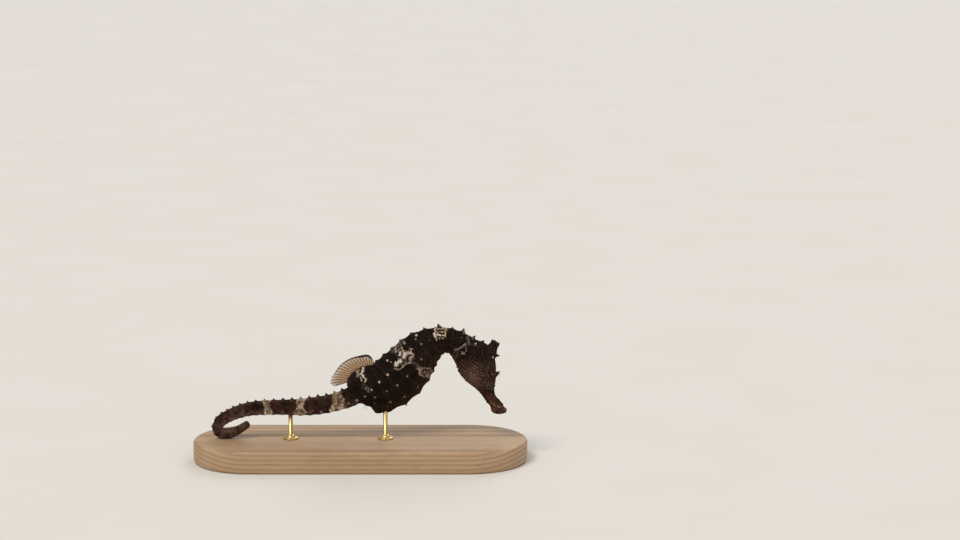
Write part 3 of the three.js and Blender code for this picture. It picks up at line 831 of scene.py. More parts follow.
def sunk_under_eyes(points):
    """Pushes the skin under the eyeballs inside the rims of the orbits."""
    x, y, z = points.T
    from_eye = np.hypot(x - EYE_CENTRE[0], z - EYE_CENTRE[2])
    inside = falling(from_eye, EYE_OPENING - 0.12, EYE_OPENING + 0.06) * (np.abs(y) > 2.2)
    eyeball = EYE_LATERAL + np.sqrt(np.clip(EYE_RADIUS**2 - from_eye**2, 0, None))
    depth = np.minimum(np.abs(y), eyeball - 0.45)
    points[:, 1] = mix(y, np.sign(y) * depth, inside)
    return points


# ---------- Skin: markings ----------

LINE_PITCH = 1.5  # pale lines of the neck
FORK_PITCH = 0.85  # narrowest spacing of the pale lines of the head
STRIA_PITCH = 1.1  # fine folds across the trunk
FIRST_RAYS = 12  # pale lines that leave a focus before they fork
FORK_SPAN = (0.35, 0.65)  # part of the way between two forks over which a line divides
HEAD_FOCUS = (51.7, 17.8)  # the lines of the cheek and crown spread from here


def forking_rays(dx, dz, wobble):
    """Lines that spread from a point and fork each time they have come twice their spacing apart.

    Gives the phase of the lines, and how many times they have forked, whole and in part.
    """
    away = np.maximum(np.hypot(dx, dz), 0.4)
    angle = np.arctan2(dz, dx) + wobble * 0.5 / np.maximum(away, 1.5)
    forks = np.log2(2 * math.pi * away / FORK_PITCH / FIRST_RAYS)
    return FIRST_RAYS * angle, np.maximum(forks, 0)


def line_wave(phase, forks):
    whole = np.floor(forks)
    once, twice = np.cos(phase * 2**whole), np.cos(phase * 2 ** (whole + 1))
    return mix(once, twice, smoothstep(forks - whole, *FORK_SPAN))


def pale_lines(points, where):
    """The lines that the skin is drawn with: their phase, forks and strength.

    Each zone has lines of its own, and where two zones meet both fade.
    """
    x, _, z = points.T
    s = where["s"]
    down = from_back(where["place"])
    wobble = lattice_noise(points, 1.9, 3) + 0.5 * lattice_noise(points, 0.9, 4)
    bowed = np.interp(rings_passed(s, where["place"]), np.arange(1, len(RINGS) + 1), RINGS)
    from_eye = x - EYE_CENTRE[0], z - EYE_CENTRE[2]
    head = smoothstep(s, 8, 11) * falling(s, 26, 30)
    by_eye = falling(np.hypot(*from_eye), 2.8, 4.4)
    trunk = smoothstep(s, 26, 30) * falling(s, 70, 76)
    under_neck = falling(s, 50, 58) * smoothstep(down, 2.6, 3.6)
    along_neck = 2 * math.pi * (where["run"] / LINE_PITCH + 0.2 * wobble)
    across_trunk = 2 * math.pi * (bowed / STRIA_PITCH + 0.22 * wobble)
    # The share that each zone has of each point, and its lines' phase, forks and strength.
    zones = [
        (head * by_eye, *forking_rays(*from_eye, wobble), 0.8),
        (head * (1 - by_eye), *forking_rays(x - HEAD_FOCUS[0], z - HEAD_FOCUS[1], wobble), 1.0),
        (trunk * under_neck, along_neck, 0 * s, 0.65),
        (trunk * (1 - under_neck), across_trunk, 0 * s, 0.4),
    ]
    shares, phases, forks, strengths = zip(*zones)
    best = np.argmax(shares, axis=0)
    chosen = np.arange(len(s))
    strongest = np.sort(shares, axis=0)
    fade = np.clip((strongest[-1] - strongest[-2]) * 2, 0, 1)
    patchy = lattice_noise(points, 3.0, 24) + 0.35 * smoothstep(down, 3, 6)
    fade = fade * mix(0.8, smoothstep(patchy, -0.15, 0.55), trunk)
    return np.array(phases)[best, chosen], np.array(forks)[best, chosen], fade * np.array(strengths)[best]


# Pale marks as strokes in x and z, each with its half width and paleness.
WINDOW = [
    ([[27.8, 40.7], [27.8, 38.4]], 0.36, 0.9),
    ([[28.3, 41.0], [31.6, 41.1]], 0.2, 0.5),
    ([[31.0, 41.1], [32.4, 40.4]], 0.2, 0.45),
    ([[28.0, 39.9], [31.6, 39.9]], 0.22, 0.6),
    ([[28.0, 38.7], [31.6, 38.7]], 0.3, 0.65),
    ([[29.3, 38.9], [29.8, 38.8]], 0.3, 0.85),
    ([[31.7, 40.9], [31.6, 38.5]], 0.3, 0.6),
    ([[28.3, 38.0], [28.4, 36.9]], 0.22, 0.5),
    ([[29.5, 37.6], [29.6, 37.2]], 0.2, 0.3),
    ([[30.6, 37.9], [30.8, 37.5]], 0.24, 0.45),
]
TRUNK_SADDLE = [
    ([[15.1, 29.4], [13.5, 27.9]], 0.62, 0.95),
    ([[14.9, 32.1], [15.0, 31.4]], 0.42, 0.9),
    ([[16.8, 32.0], [16.4, 30.6]], 0.5, 0.85),
    ([[18.0, 32.4], [18.9, 32.3]], 0.42, 0.8),
    ([[19.4, 31.9], [20.0, 31.5], [19.6, 30.7]], 0.38, 0.65),
    ([[19.2, 30.8], [18.8, 29.9], [18.8, 28.6]], 0.28, 0.5),
    ([[18.7, 28.5], [17.0, 28.2], [16.3, 27.5], [15.7, 26.8]], 0.25, 0.42),
    ([[15.7, 26.8], [15.2, 26.3], [14.1, 26.0], [12.9, 26.4], [13.0, 26.9]], 0.25, 0.42),
    ([[13.4, 33.8], [13.4, 32.5]], 0.28, 0.7),
    ([[15.6, 34.4], [16.1, 33.1], [16.4, 32.4]], 0.28, 0.55),
    ([[15.2, 32.6], [15.5, 32.4]], 0.25, 0.6),
    ([[16.3, 36.2], [16.6, 35.8]], 0.28, 0.5),
    ([[18.9, 33.7], [19.3, 33.5]], 0.33, 0.4),
    ([[14.5, 30.0], [14.9, 29.9]], 0.25, 0.45),
]
BELLY_RING = [
    ([[22.2, 26.9], [22.2, 24.3]], 0.4, 0.5),
    ([[22.9, 24.0], [23.6, 23.3]], 0.3, 0.4),
    ([[21.3, 26.4], [26.0, 26.4]], 0.28, 0.33),
    ([[23.7, 25.4], [24.0, 25.1]], 0.3, 0.42),
    ([[26.4, 26.0], [26.6, 24.6]], 0.25, 0.3),
    ([[24.9, 23.6], [26.3, 23.4]], 0.6, 0.25),
]
NECK_MARK = [
    ([[35.3, 32.9], [37.2, 34.0]], 0.35, 0.24),
    ([[37.2, 34.3], [39.0, 35.3]], 0.4, 0.22),
    ([[39.1, 34.0], [39.3, 33.0]], 0.25, 0.16),
    ([[38.1, 31.8], [38.5, 31.7]], 0.5, 0.26),
    ([[38.5, 39.0], [38.6, 39.8]], 0.32, 0.12),
    ([[41.6, 37.3], [41.8, 38.1]], 0.32, 0.1),
]
FIN_BASE_MARK = [
    ([[1.3, 26.3], [1.3, 25.1]], 0.4, 0.8),
    ([[1.1, 25.1], [0.7, 24.2]], 0.45, 0.75),
    ([[1.1, 23.8], [1.3, 23.4]], 0.5, 0.9),
    ([[0.4, 23.2], [0.6, 22.2], [0.7, 21.9]], 0.35, 0.65),
    ([[1.7, 22.9], [2.3, 22.5], [2.4, 22.1], [2.1, 21.5]], 0.28, 0.65),
    ([[-1.0, 25.7], [-0.5, 23.8]], 0.6, 0.3),
]
SNOUT_STREAKS = [
    ([[48.2, 13.5], [50.3, 12.5], [52.1, 11.6]], 0.14, 0.1),
]
PALE_STROKES = WINDOW + TRUNK_SADDLE + BELLY_RING + NECK_MARK + FIN_BASE_MARK + SNOUT_STREAKS

# Where the skin is only netted with pale lines, round and between the marks.
NETTED_STROKES = [
    ([[12.4, 33.6], [14.5, 32.6], [17.0, 31.4], [19.0, 30.6]], 1.9),
    ([[15.0, 35.4], [13.4, 33.0]], 1.2),
    ([[13.6, 27.8], [16.5, 28.7], [18.8, 29.5]], 1.2),
    ([[19.4, 29.0], [21.4, 27.6], [22.4, 26.8]], 0.7),
    ([[22.6, 25.4], [26.0, 24.6]], 1.1),
    ([[28.1, 37.8], [31.8, 37.8]], 0.6),
    ([[39.9, 38.0], [40.1, 35.5]], 0.8),
    ([[41.2, 35.2], [43.8, 34.6]], 0.5),
    ([[-1.2, 25.8], [-0.6, 23.8]], 0.9),
    ([[-4.2, 21.8], [-3.6, 21.4]], 0.5),
    ([[1.3, 20.2], [3.5, 18.2]], 1.1),
]

# Tail saddles: s at the front and the back along the top, the waist and the bottom.
TAIL_SADDLES = [
    ((81.9, 85.5), (81.3, 85.8), (82.0, 87.7)),
    ((96.0, 99.8), (97.1, 99.4), (96.0, 101.0)),
    ((109.2, 112.1), (109.3, 111.5), (108.5, 111.8)),
]
SADDLE_LEVELS = (1.0, 1.9, 2.6)  # places round the section of the top, the waist and the bottom


def strokes_at(x, z, strokes, swell=1.0):
    """How far inside the nearest stroke each point lies, and the paleness there. swell varies the widths."""
    inside = np.full(x.shape, -9.0)
    paleness = np.zeros(x.shape)
    for path, half, *tone in strokes:
        depth = half * swell - distance_to_path(x, z, path)
        inside = np.maximum(inside, depth)
        if tone:
            paleness = np.maximum(paleness, tone[0] * smoothstep(depth, -0.35, 0.0))
    return inside, paleness


def inside_saddles(s, down):
    best = np.full(s.shape, -9.0)
    for levels in TAIL_SADDLES:
        front = np.interp(down, SADDLE_LEVELS, [front for front, _ in levels])
        back = np.interp(down, SADDLE_LEVELS, [back for _, back in levels])
        best = np.maximum(best, (back - front) / 2 - np.abs(s - (front + back) / 2))
    return best


def knobs_at(points, knobs):
    """1 in the middle of each pale knob, falling off to 0 round it, and the knob's own paleness."""
    near = np.zeros(len(points))
    paleness = np.zeros(len(points))
    for middle, radius, tone in knobs:
        away = np.linalg.norm(points - middle, axis=1) / radius
        near = np.maximum(near, falling(away, 0.5, 1.7))
        paleness[away < 2] = tone
    return near, paleness


def skin_tones(points, where, knobs):
    """Smooth fields that the skin's material turns into colours."""
    frayed = points + 0.1 * lattice_noise(points, 0.8, 11)[:, None] * np.array([1, 0, -1])
    frayed += 0.08 * lattice_noise(points, 0.4, 12)[:, None] * np.array([1, 0, 1])
    x, z = frayed[:, 0], seen_height(frayed)
    s = where["s"]
    down = from_back(where["place"])
    head = falling(s, 24, 31)
    crown = smoothstep(z, 25.5, 31.5) * falling(s, 28, 32) * smoothstep(x, 36, 40)
    tail = smoothstep(s, 74, 84)
    curl = smoothstep(s, 108, 124)
    neck = ridge(s - 42, 12) * smoothstep(down, 2.9, 4.2)

    brown = 0.06 + 0.5 * head * (1 - 0.8 * crown) + 0.22 * smoothstep(down, 5, 7.6) * (1 - tail)
    brown += 0.62 * tail + 0.2 * curl + 0.14 * neck
    brown += 0.9 * tail * lattice_noise(points, 1.5, 17)
    brown += 1.1 * falling(s, 10, 14) * lattice_noise(points, 1.2, 25)

    snout = falling(s, 3, 13) * mix(0.1, 1, smoothstep(lattice_noise(points, 1.1, 23), -0.3, 0.25))
    coronet_front = crown * smoothstep(x, 47, 48.6)
    warm = 0.12 * smoothstep(down, 6.2, 7.9) * (1 - tail) * (1 - head) + 0.9 * snout + 0.12 * coronet_front

    # painted highlight: a soft pale pink patch on the lower gill cover and jaw, which goes into the pink
    # field
    painted_jaw_highlight = ridge(np.hypot(x - 41.6, (z - 22.2) * 0.7), 2.9) * head
    risen = smoothstep(where["height"], 0.1, 0.5) * (0.5 * ((s > 27) & (s < 58)) + 0.8 * (s > 80))
    low_tail = tail * smoothstep(down, mix(2.2, 1.6, curl), 2.8)
    low_tail = low_tail * smoothstep(lattice_noise(points, 1.3, 18), -0.5, 0.5)
    pink = np.maximum(painted_jaw_highlight + 0.4 * falling(s, 0.5, 4) * falling(down, 3, 6), risen)
    pink = np.maximum(pink, 0.8 * low_tail + (0.1 + 0.4 * lattice_noise(points, 1.4, 19)) * curl)

    saddles = inside_saddles(s + frayed[:, 0] - points[:, 0], down)
    saddle_edge = np.minimum(saddles - 0.12, 0.06) + 0.3 * lattice_noise(points, 0.8, 15)
    saddle_tone = (0.5 + 0.3 * lattice_noise(points, 1.3, 16)) * smoothstep(saddles, -0.5, 0)
    swell = 1 + 0.7 * lattice_noise(points, 0.7, 21) + 0.3 * lattice_noise(points, 0.35, 22)
    pale, paleness = strokes_at(x, z, PALE_STROKES, swell)
    knob, knob_paleness = knobs_at(points, knobs)
    return {
        "brown": np.clip(brown, 0, 1),
        "warm": np.clip(warm, 0, 1),
        "pink": np.clip(pink, 0, 1),
        "pale": np.maximum(pale, saddle_edge),
        "netted": np.maximum(strokes_at(x, z, NETTED_STROKES)[0], saddles + 0.2),
        "knob": knob,
        "tone": np.where(knob > 0, 0.8 * knob_paleness, np.maximum(paleness, saddle_tone)),
        "crown": crown,
    }


BODY_SPLIT = 72.0  # the tail has its own strip of the map
MAP_MARGIN = 0.01
TAIL_STRIP = 0.3


def map_skin(mesh, where):
    """A map of the skin unrolled along the midline, in two strips."""
    corners = face_corners(mesh).reshape(-1, 4)
    s = where["s"][corners]
    share = (where["run"] / where["perimeter"])[corners] % 1
    crossing = share.max(axis=1) - share.min(axis=1) > 0.5
    share = np.where(crossing[:, None] & (share < 0.5), share + 1, share)
    is_tail = (s.mean(axis=1) > BODY_SPLIT)[:, None]
    body_u = (s + LIP_LENGTH) / (BODY_SPLIT + LIP_LENGTH)
    tail_u = (s - BODY_SPLIT) / (LENGTH + TIP_LENGTH - BODY_SPLIT)
    u = MAP_MARGIN + (1 - 2 * MAP_MARGIN) * np.where(is_tail, tail_u, body_u)
    body_v = TAIL_STRIP + MAP_MARGIN + (1 - TAIL_STRIP - 3 * MAP_MARGIN) * share
    tail_v = MAP_MARGIN + (TAIL_STRIP - 2 * MAP_MARGIN) * share
    set_map(mesh, np.stack([u, np.where(is_tail, tail_v, body_v)], axis=-1))


FLESH_NODES = [
    "snout", "head", "coronet", "neck", "trunk_front", "trunk_rear",
    "tail_1", "tail_2", "tail_3", "tail_4", "tail_5", "tail_tip",
]


def smoothed_skin(mesh, where):
    """The remeshed points, set back on the loft, with the creases at the feet of spines and knobs filled."""
    points = mesh_points(mesh)
    pairs = values_of(mesh.edges, "vertices", 2, np.int32)
    on_loft = falling(np.abs(where["height"]), 0.06, 0.12) * (where["off"] < 0.4)
    points = points - where["normal"] * (where["height"] * on_loft)[:, None]
    points = relaxed(points, pairs)
    points = filled_creases(points, vertex_normals(mesh), pairs)
    return relaxed(points, pairs)


LINE_RELIEF = 0.05
BROAD_GRAIN = 0.035
FINE_GRAIN = 0.024
MARK_RELIEF = 0.25  # height of a pale mark over its depth inside the edge


def make_skin(material):
    body = loft()
    knob_shapes, knobs = flank_bumps(body)
    added = [*body_spines(), *knob_shapes, *head_spines(), *coronet(), *orbits(), *fin_wedge()]
    mesh = remeshed([tube_mesh(body["rows"]), *added])
    mesh.name = "skin"
    where = place_on_loft(mesh_points(mesh), body)
    points = smoothed_skin(mesh, where)
    move_points(mesh, points)
    normals = vertex_normals(mesh)
    phase, forks, strength = pale_lines(points, where)
    tones = skin_tones(points, where, knobs)
    relief = head_relief(points, where) + LINE_RELIEF * line_wave(phase, forks) * strength
    relief += BROAD_GRAIN * lattice_noise(points, 1.1, 7) + FINE_GRAIN * lattice_noise(points, 0.45, 8)
    relief += MARK_RELIEF * np.clip(tones["pale"], 0, 0.3)
    move_points(mesh, sunk_under_eyes(points + normals * relief[:, None]))
    set_attributes(mesh, tones)
    set_attributes(mesh, {"phase": phase, "forks": forks, "strength": strength})
    set_attributes(mesh, {"rings": ring_wave(where["s"], where["place"])})
    map_skin(mesh, where)
    mesh.materials.clear()
    place_piece(add_object("skin", mesh), material, FLESH_NODES)


# ---------- Materials ----------

class Value:
    """A node's output, for sums, differences and products with numbers and other outputs."""

    def __init__(self, shader, socket):
        self.shader = shader
        self.socket = socket

    def __add__(self, other):
        return self.shader.math("ADD", self, other)

    def __sub__(self, other):
        return self.shader.math("SUBTRACT", self, other)

    def __rsub__(self, other):
        return self.shader.math("SUBTRACT", other, self)

    def __mul__(self, other):
        return self.shader.math("MULTIPLY", self, other)


class Shader:
    """A node material. Each method adds a node and gives back its output."""

    def __init__(self, name):
        self.material = bpy.data.materials.new(name)
        self.material.use_nodes = True
        self.tree = self.material.node_tree
        self.millimetres = None

    def feed(self, socket, value):
        if isinstance(value, Value):
            self.tree.links.new(value.socket, socket)
        elif socket.type == "RGBA" and len(value) == 3:
            socket.default_value = (*value, 1)
        else:
            socket.default_value = value

    def set(self, **inputs):
        """Feeds the surface's inputs, named with _ for a space."""
        surface = self.tree.nodes["Principled BSDF"]
        for name, value in inputs.items():
            self.feed(surface.inputs[name.replace("_", " ")], value)

    def node(self, kind, output, inputs, **settings):
        node = self.tree.nodes.new("ShaderNode" + kind)
        for name, value in settings.items():
            setattr(node, name, value)
        for name, value in inputs.items():
            self.feed(node.inputs[name], value)
        return Value(self, node.outputs[output])

    def attribute(self, name):
        return self.node("Attribute", "Fac", {}, attribute_name=name)

    def here(self):
        """The piece's own coordinates, in millimetres."""
        if self.millimetres is None:
            metres = self.node("TexCoord", "Object", {})
            self.millimetres = self.node("VectorMath", 0, {0: metres, "Scale": 1 / MM}, operation="SCALE")
        return self.millimetres

    def stretched(self, factors, shift=(0, 0, 0)):
        return self.node("VectorMath", 0, {0: self.here(), 1: factors, 2: shift}, operation="MULTIPLY_ADD")

    def math(self, operation, a, b=0.0, clamp=False):
        return self.node("Math", 0, {0: a, 1: b}, operation=operation, use_clamp=clamp)

    def noise(self, size, detail=3.0, vector=None, distortion=0.0):
        """Noise whose bumps are about size millimetres across."""
        return self.node("TexNoise", "Fac", {
            "Vector": vector or self.here(),
            "Scale": 1 / size,
            "Detail": detail,
            "Roughness": 0.55,
            "Distortion": distortion,
        })

    def rings(self, pitch, vector, distortion):
        """Growth rings round the X axis, pitch millimetres apart."""
        look = {"Vector": vector, "Scale": 2 * math.pi / 20 / pitch, "Distortion": distortion, "Detail": 3}
        return self.node("TexWave", "Fac", look, wave_type="RINGS", rings_direction="X")

    def between(self, value, low, high):
        """0 where value is low or less, 1 where it is high or more."""
        span = {"Value": value, "From Min": low, "From Max": high}
        return self.node("MapRange", 0, span, interpolation_type="SMOOTHSTEP")

    def blend(self, share, a, b):
        return self.node("Mix", 2, {0: share, 6: a, 7: b}, data_type="RGBA")

    def bump(self, height, distance, strength=1.0):
        look = {"Strength": strength, "Distance": distance * MM, "Height": height}
        self.set(Normal=self.node("Bump", 0, look))


BLACK_BROWN = (0.0062, 0.0035, 0.0027)
DARK_BROWN = (0.043, 0.0195, 0.0115)
RED_BROWN = (0.19, 0.09, 0.034)
PINK_BROWN = (0.32, 0.19, 0.145)
LINE_BROWN = (0.22, 0.112, 0.058)
LINE_GREY = (0.03, 0.019, 0.0155)
NET_BROWN = (0.2, 0.14, 0.115)
CREAM = (0.48, 0.36, 0.22)
WHITE = (0.62, 0.58, 0.52)


def skin_material():
    m = Shader("seahorse_skin")
    fine = m.noise(0.5, 4)
    speck = m.noise(0.22, 3)
    unsure = fine - 0.5

    # ground colour
    brown = m.math("ADD", m.attribute("brown") + (m.noise(3.2, 4) - 0.5) * 0.4, unsure * 0.4, clamp=True)
    warm = m.attribute("warm") * m.between(fine, 0.3, 0.7)
    pink = m.attribute("pink") * m.between(fine, 0.3, 0.65)
    colour = m.blend(brown, BLACK_BROWN, DARK_BROWN)
    colour = m.blend(warm * 0.7, colour, RED_BROWN)
    # the pink field also holds the painted highlight on the jaw
    colour = m.blend(pink * 0.55, colour, PINK_BROWN)

    # pale lines, their furrows, and the crests of the rings
    lines = drawn_lines(m) + unsure * 3.2
    strength = m.attribute("strength") * m.between(m.attribute("crown"), 2.4, -0.4)
    line = m.between(lines, 0.15, 0.85) * m.between(m.noise(0.9, 3), 0.38, 0.58) * strength
    line_colour = m.blend(m.math("MULTIPLY", m.attribute("brown"), 1.5, clamp=True), LINE_GREY, LINE_BROWN)
    line_colour = m.blend(m.attribute("pink"), line_colour, PINK_BROWN)
    furrow = m.between(lines, 0.0, -1.0) * strength
    crest = m.between(m.attribute("rings"), 0.75, 1.0) * m.between(fine, 0.42, 0.62)
    colour = m.blend(furrow * 0.85, colour, BLACK_BROWN)
    colour = m.blend(line * 0.9, colour, line_colour)
    colour = m.blend(crest * 0.07, colour, LINE_BROWN)
    colour = m.blend(netting(m, fine), colour, NET_BROWN)

    # pale marks and knobs
    ragged = unsure + (speck - 0.5) * 0.8
    marked = m.between(m.attribute("pale") + ragged, -0.06, 0.07)
    knobbed = m.between(m.attribute("knob") + ragged * 1.2, 0.36, 0.62)
    tone = m.attribute("tone") + unsure * 0.9
    holes = m.between(m.noise(0.55, 3), 0.51, 0.59) * m.between(m.attribute("tone"), 0.75, 0.5)
    light = m.blend(m.between(tone, 0.1, 0.6), NET_BROWN, CREAM)
    light = m.blend(m.between(tone, 0.55, 1.1), light, WHITE)
    light = m.blend(m.between(speck, 0.52, 0.62) * 0.6, light, PINK_BROWN)
    light = m.blend(holes * 0.9, light, DARK_BROWN)
    colour = m.blend(m.math("MAXIMUM", marked, knobbed) * 0.95, colour, light)
    colour = m.blend(m.between(speck, 0.58, 0.72) * 0.05, colour, LINE_BROWN)

    m.set(Base_Color=colour, Roughness=fine * 0.3 + 0.5)
    m.set(Subsurface_Weight=0.04, Subsurface_Scale=0.5 * MM, Specular_IOR_Level=0.05)
    m.bump(speck * 0.5 + m.noise(0.09, 2) * 0.4, 0.06, 0.7)
    return m.material


def drawn_lines(m):
    """The wave of the pale lines, sharp at any distance because only its phase comes from the mesh."""
    forks = m.attribute("forks")
    whole = m.math("FLOOR", forks)
    once = m.attribute("phase") * m.math("POWER", 2.0, whole)
    fork = m.between(forks - whole, *FORK_SPAN)
    return m.math("COSINE", once) * (1 - fork) + m.math("COSINE", once * 2.0) * fork


def netting(m, fine):
    """Thin broken pale lines, where the skin is netted."""
    inside = m.between(m.attribute("netted"), -0.1, 0.8)
    wander = m.math("ABSOLUTE", m.noise(1.0, 2, distortion=0.8) - 0.5)
    patch = m.between(fine, 0.48, 0.64) * 0.25
    return inside * m.math("MAXIMUM", m.between(wander, 0.055, 0.015), patch)


PUPIL_REACH = 0.52
PUPIL_BLACK = (0.002, 0.002, 0.003)
IRIS_BROWNS = (0.022, 0.013, 0.009), (0.085, 0.052, 0.03)
IRIS_RING = (0.22, 0.14, 0.06)
EYELID_BROWN = (0.02, 0.014, 0.01)


def eye_material():
    """A dark pupil in a bronze ring, with streaks that run outwards, under a clear wet coat."""
    m = Shader("seahorse_eye")
    away = m.attribute("away")
    fine = m.noise(0.25, 3)
    streak = m.math("SINE", m.attribute("angle") * 21.0 + m.noise(0.5, 3) * 7.0)
    streaks = m.between(streak + fine * 1.6, 0.4, 1.6)
    ring = m.between(away, PUPIL_REACH + 0.14, PUPIL_REACH + 0.04)
    pupil = m.between(away, PUPIL_REACH + 0.03, PUPIL_REACH - 0.03)
    colour = m.blend(ring * 0.6, m.blend(streaks, *IRIS_BROWNS), IRIS_RING)
    colour = m.blend(pupil, colour, PUPIL_BLACK)
    colour = m.blend(m.between(away, 1.0, 1.22), colour, EYELID_BROWN)
    m.set(Base_Color=colour, Roughness=fine * 0.1 + 0.22)
    m.set(Coat_Weight=0.07, Coat_Roughness=0.04, Specular_IOR_Level=0.08)
    m.bump(streaks * (1 - pupil), 0.02, 0.4)
    return m.material


FIN_TANS = (0.42, 0.225, 0.08), (0.54, 0.32, 0.13)
FIN_GREYS = (0.10, 0.07, 0.05), (0.16, 0.12, 0.09)
RAY_BROWN = (0.075, 0.038, 0.018)
RAY_GREY = (0.12, 0.085, 0.06)
RAY_DOT_BROWN = (0.02, 0.011, 0.008)
FIN_BAND_BROWN = (0.035, 0.018, 0.011)


def fin_material(name, web_alpha, ray_alpha, webs, ray_tone):
    """Clear membrane of two tones between dotted rays."""
    m = Shader(name)
    out = m.attribute("out")
    band = m.attribute("band")
    fine = m.noise(0.4, 3)
    ray = m.between(m.attribute("ray"), 0.45, 0.85)
    dots = m.between(m.math("SINE", out * 40.0), -0.3, 0.6) * m.between(out + fine * 0.5, 0.8, 0.35)
    colour = m.blend(ray, m.blend(fine, *webs), m.blend(dots, ray_tone, RAY_DOT_BROWN))
    colour = m.blend(band, colour, FIN_BAND_BROWN)
    ray = ray * m.between(out, 1.25, 0.3)
    alpha = m.between(out, 1.5, 0.4) * web_alpha + ray * ray_alpha + ray * dots * ray_alpha
    alpha = m.math("ADD", alpha, band * 0.6, clamp=True)
    m.set(Base_Color=colour, Alpha=alpha, Roughness=fine * 0.2 + 0.36, Specular_IOR_Level=0.3)
    m.bump(fine, 0.03, 0.4)
    return m.material


OAK_BROWNS = (0.36, 0.22, 0.115), (0.56, 0.38, 0.22)
OAK_GRAIN = (0.25, 0.14, 0.07)
OAK_PORES = (0.14, 0.075, 0.035)
BRASS = (0.72, 0.5, 0.2)
TARNISH = (0.45, 0.29, 0.12)
FLOOR_GREYS = (0.74, 0.70, 0.63), (0.80, 0.76, 0.70)


def wood_material():
    """Oiled oak: long grain, pores and soft figure along the base."""
    m = Shader("stand_wood")
    grain = m.rings(1.7, m.stretched((0.02, 1, 1), (0, 7, 46)), 2.2)
    figure = m.noise(14, 3, m.stretched((0.25, 1, 1)), 1.2)
    pores = m.between(m.noise(0.35, 2, m.stretched((0.06, 1, 1))), 0.6, 0.72)
    colour = m.blend(m.between(grain, 0.35, 0.9) * 0.42, m.blend(figure, *OAK_BROWNS), OAK_GRAIN)
    colour = m.blend(pores * 0.5, colour, OAK_PORES)
    m.set(Base_Color=colour, Roughness=grain * 0.25 + 0.42)
    m.bump(grain - pores, 0.12, 0.4)
    return m.material


def brass_material():
    """Satin brass, brushed round, a little darker where it has been handled."""
    m = Shader("stand_brass")
    brushed = m.noise(0.12, 2, m.stretched((0.4, 0.4, 3)))
    colour = m.blend(m.between(m.noise(6, 4), 0.45, 0.75) * 0.5, BRASS, TARNISH)
    m.set(Base_Color=colour, Roughness=brushed * 0.2 + 0.26, Metallic=1.0)
    m.bump(brushed, 0.02, 0.4)
    return m.material


def floor_material():
    m = Shader("studio_floor")
    m.set(Base_Color=m.blend(m.noise(60, 4), *FLOOR_GREYS), Roughness=m.noise(2, 3) * 0.2 + 0.75)
    return m.material


# ---------- Eyes ----------

def make_eye(name, hand, material):
    centre = EYE_CENTRE + LEFT * hand * EYE_LATERAL
    points, faces = ball(centre, EYE_RADIUS, 40, 64)
    piece = new_mesh(name, points, faces)
    x, z = points[:, 0] - centre[0], points[:, 2] - centre[2]
    set_attributes(piece.data, {"away": np.hypot(x * 0.9, z), "angle": np.arctan2(z, x)})
    place_piece(piece, material, [name])


# ---------- Fins ----------

FIN_ROWS = 34  # points from the root of a fin to its edge
POINTS_PER_RAY = 8
FIN_MAP_MARGIN = 0.02
WEB_HALF = 0.05  # half thickness between the rays


def make_fin(name, root, edge, rays, material, ripple=0.0, band=None, turn=None, ray_half=0.1):
    """A thin closed sheet from its root line to its free edge, with raised rays.

    root and edge are lines in x and z. turn takes the flat points to their place on the fish.
    """
    share = np.linspace(0, 1, rays * POINTS_PER_RAY + 1)
    across = len(share)
    lift = np.linspace(0, 1, FIN_ROWS)[:, None]
    near_ray = 0.5 + 0.5 * np.cos(2 * math.pi * (share * rays - 0.5))
    low, high = along_curve(root, share), along_curve(edge, share)
    reach = lift * (1 - 0.02 * (1 - near_ray) * lift)
    flat = low + (high - low) * reach[..., None]
    wave = ripple * np.sin(2 * math.pi * share * 2.3) * lift
    half = WEB_HALF + (ray_half - WEB_HALF) * near_ray**3 * (1 - 0.75 * lift)
    half = half * (1 - 0.6 * smoothstep(lift, 0.93, 1))
    sheets = [np.stack([flat[..., 0], wave + hand * half, flat[..., 1]], axis=-1) for hand in (1, -1)]
    points = np.concatenate(sheets).reshape(-1, 3)
    if turn is not None:
        points = turn(points)
    count = across * FIN_ROWS
    front = grid_faces(FIN_ROWS, across, closed=False)
    numbers = np.arange(count).reshape(FIN_ROWS, across)
    rim = np.concatenate([numbers[0], numbers[1:, -1], numbers[-1, -2::-1], numbers[-2:0:-1, 0]])
    after = np.roll(rim, -1)
    sides = np.stack([after, rim, rim + count, after + count], axis=1)
    piece = new_mesh(name, points, np.concatenate([front, front[:, ::-1] + count, sides]))
    bands = band(share, lift) if band else 0
    set_attributes(piece.data, {
        field: np.tile(np.broadcast_to(values, (FIN_ROWS, across)).ravel(), 2)
        for field, values in (("ray", near_ray**2), ("out", lift), ("band", bands))
    })
    map_fin(piece.data, share, lift)
    place_piece(piece, material, [name])


def map_fin(mesh, share, lift):
    """The two faces of a fin side by side."""
    u, v = np.broadcast_arrays(share, lift)
    u = FIN_MAP_MARGIN + (0.5 - 2 * FIN_MAP_MARGIN) * u.ravel()
    v = FIN_MAP_MARGIN + (1 - 2 * FIN_MAP_MARGIN) * v.ravel()
    left = np.stack([u, v], axis=1)
    both = np.concatenate([left, left + np.array([0.5, 0])])
    set_map(mesh, both[face_corners(mesh)])


DORSAL_ROOT = [[5.3, 27.3], [1.9, 26.7], [-1.1, 25.5], [-3.2, 23.4], [-4.6, 21.0]]
DORSAL_EDGE = [
    [5.2, 28.7], [4.1, 30.8], [2.2, 31.6], [-1.9, 30.8], [-4.4, 29.7], [-7, 27.9], [-8.9, 25.6],
    [-10.6, 22.7], [-10.9, 20.5], [-9.4, 19.4],
]
DORSAL_RAYS = 19


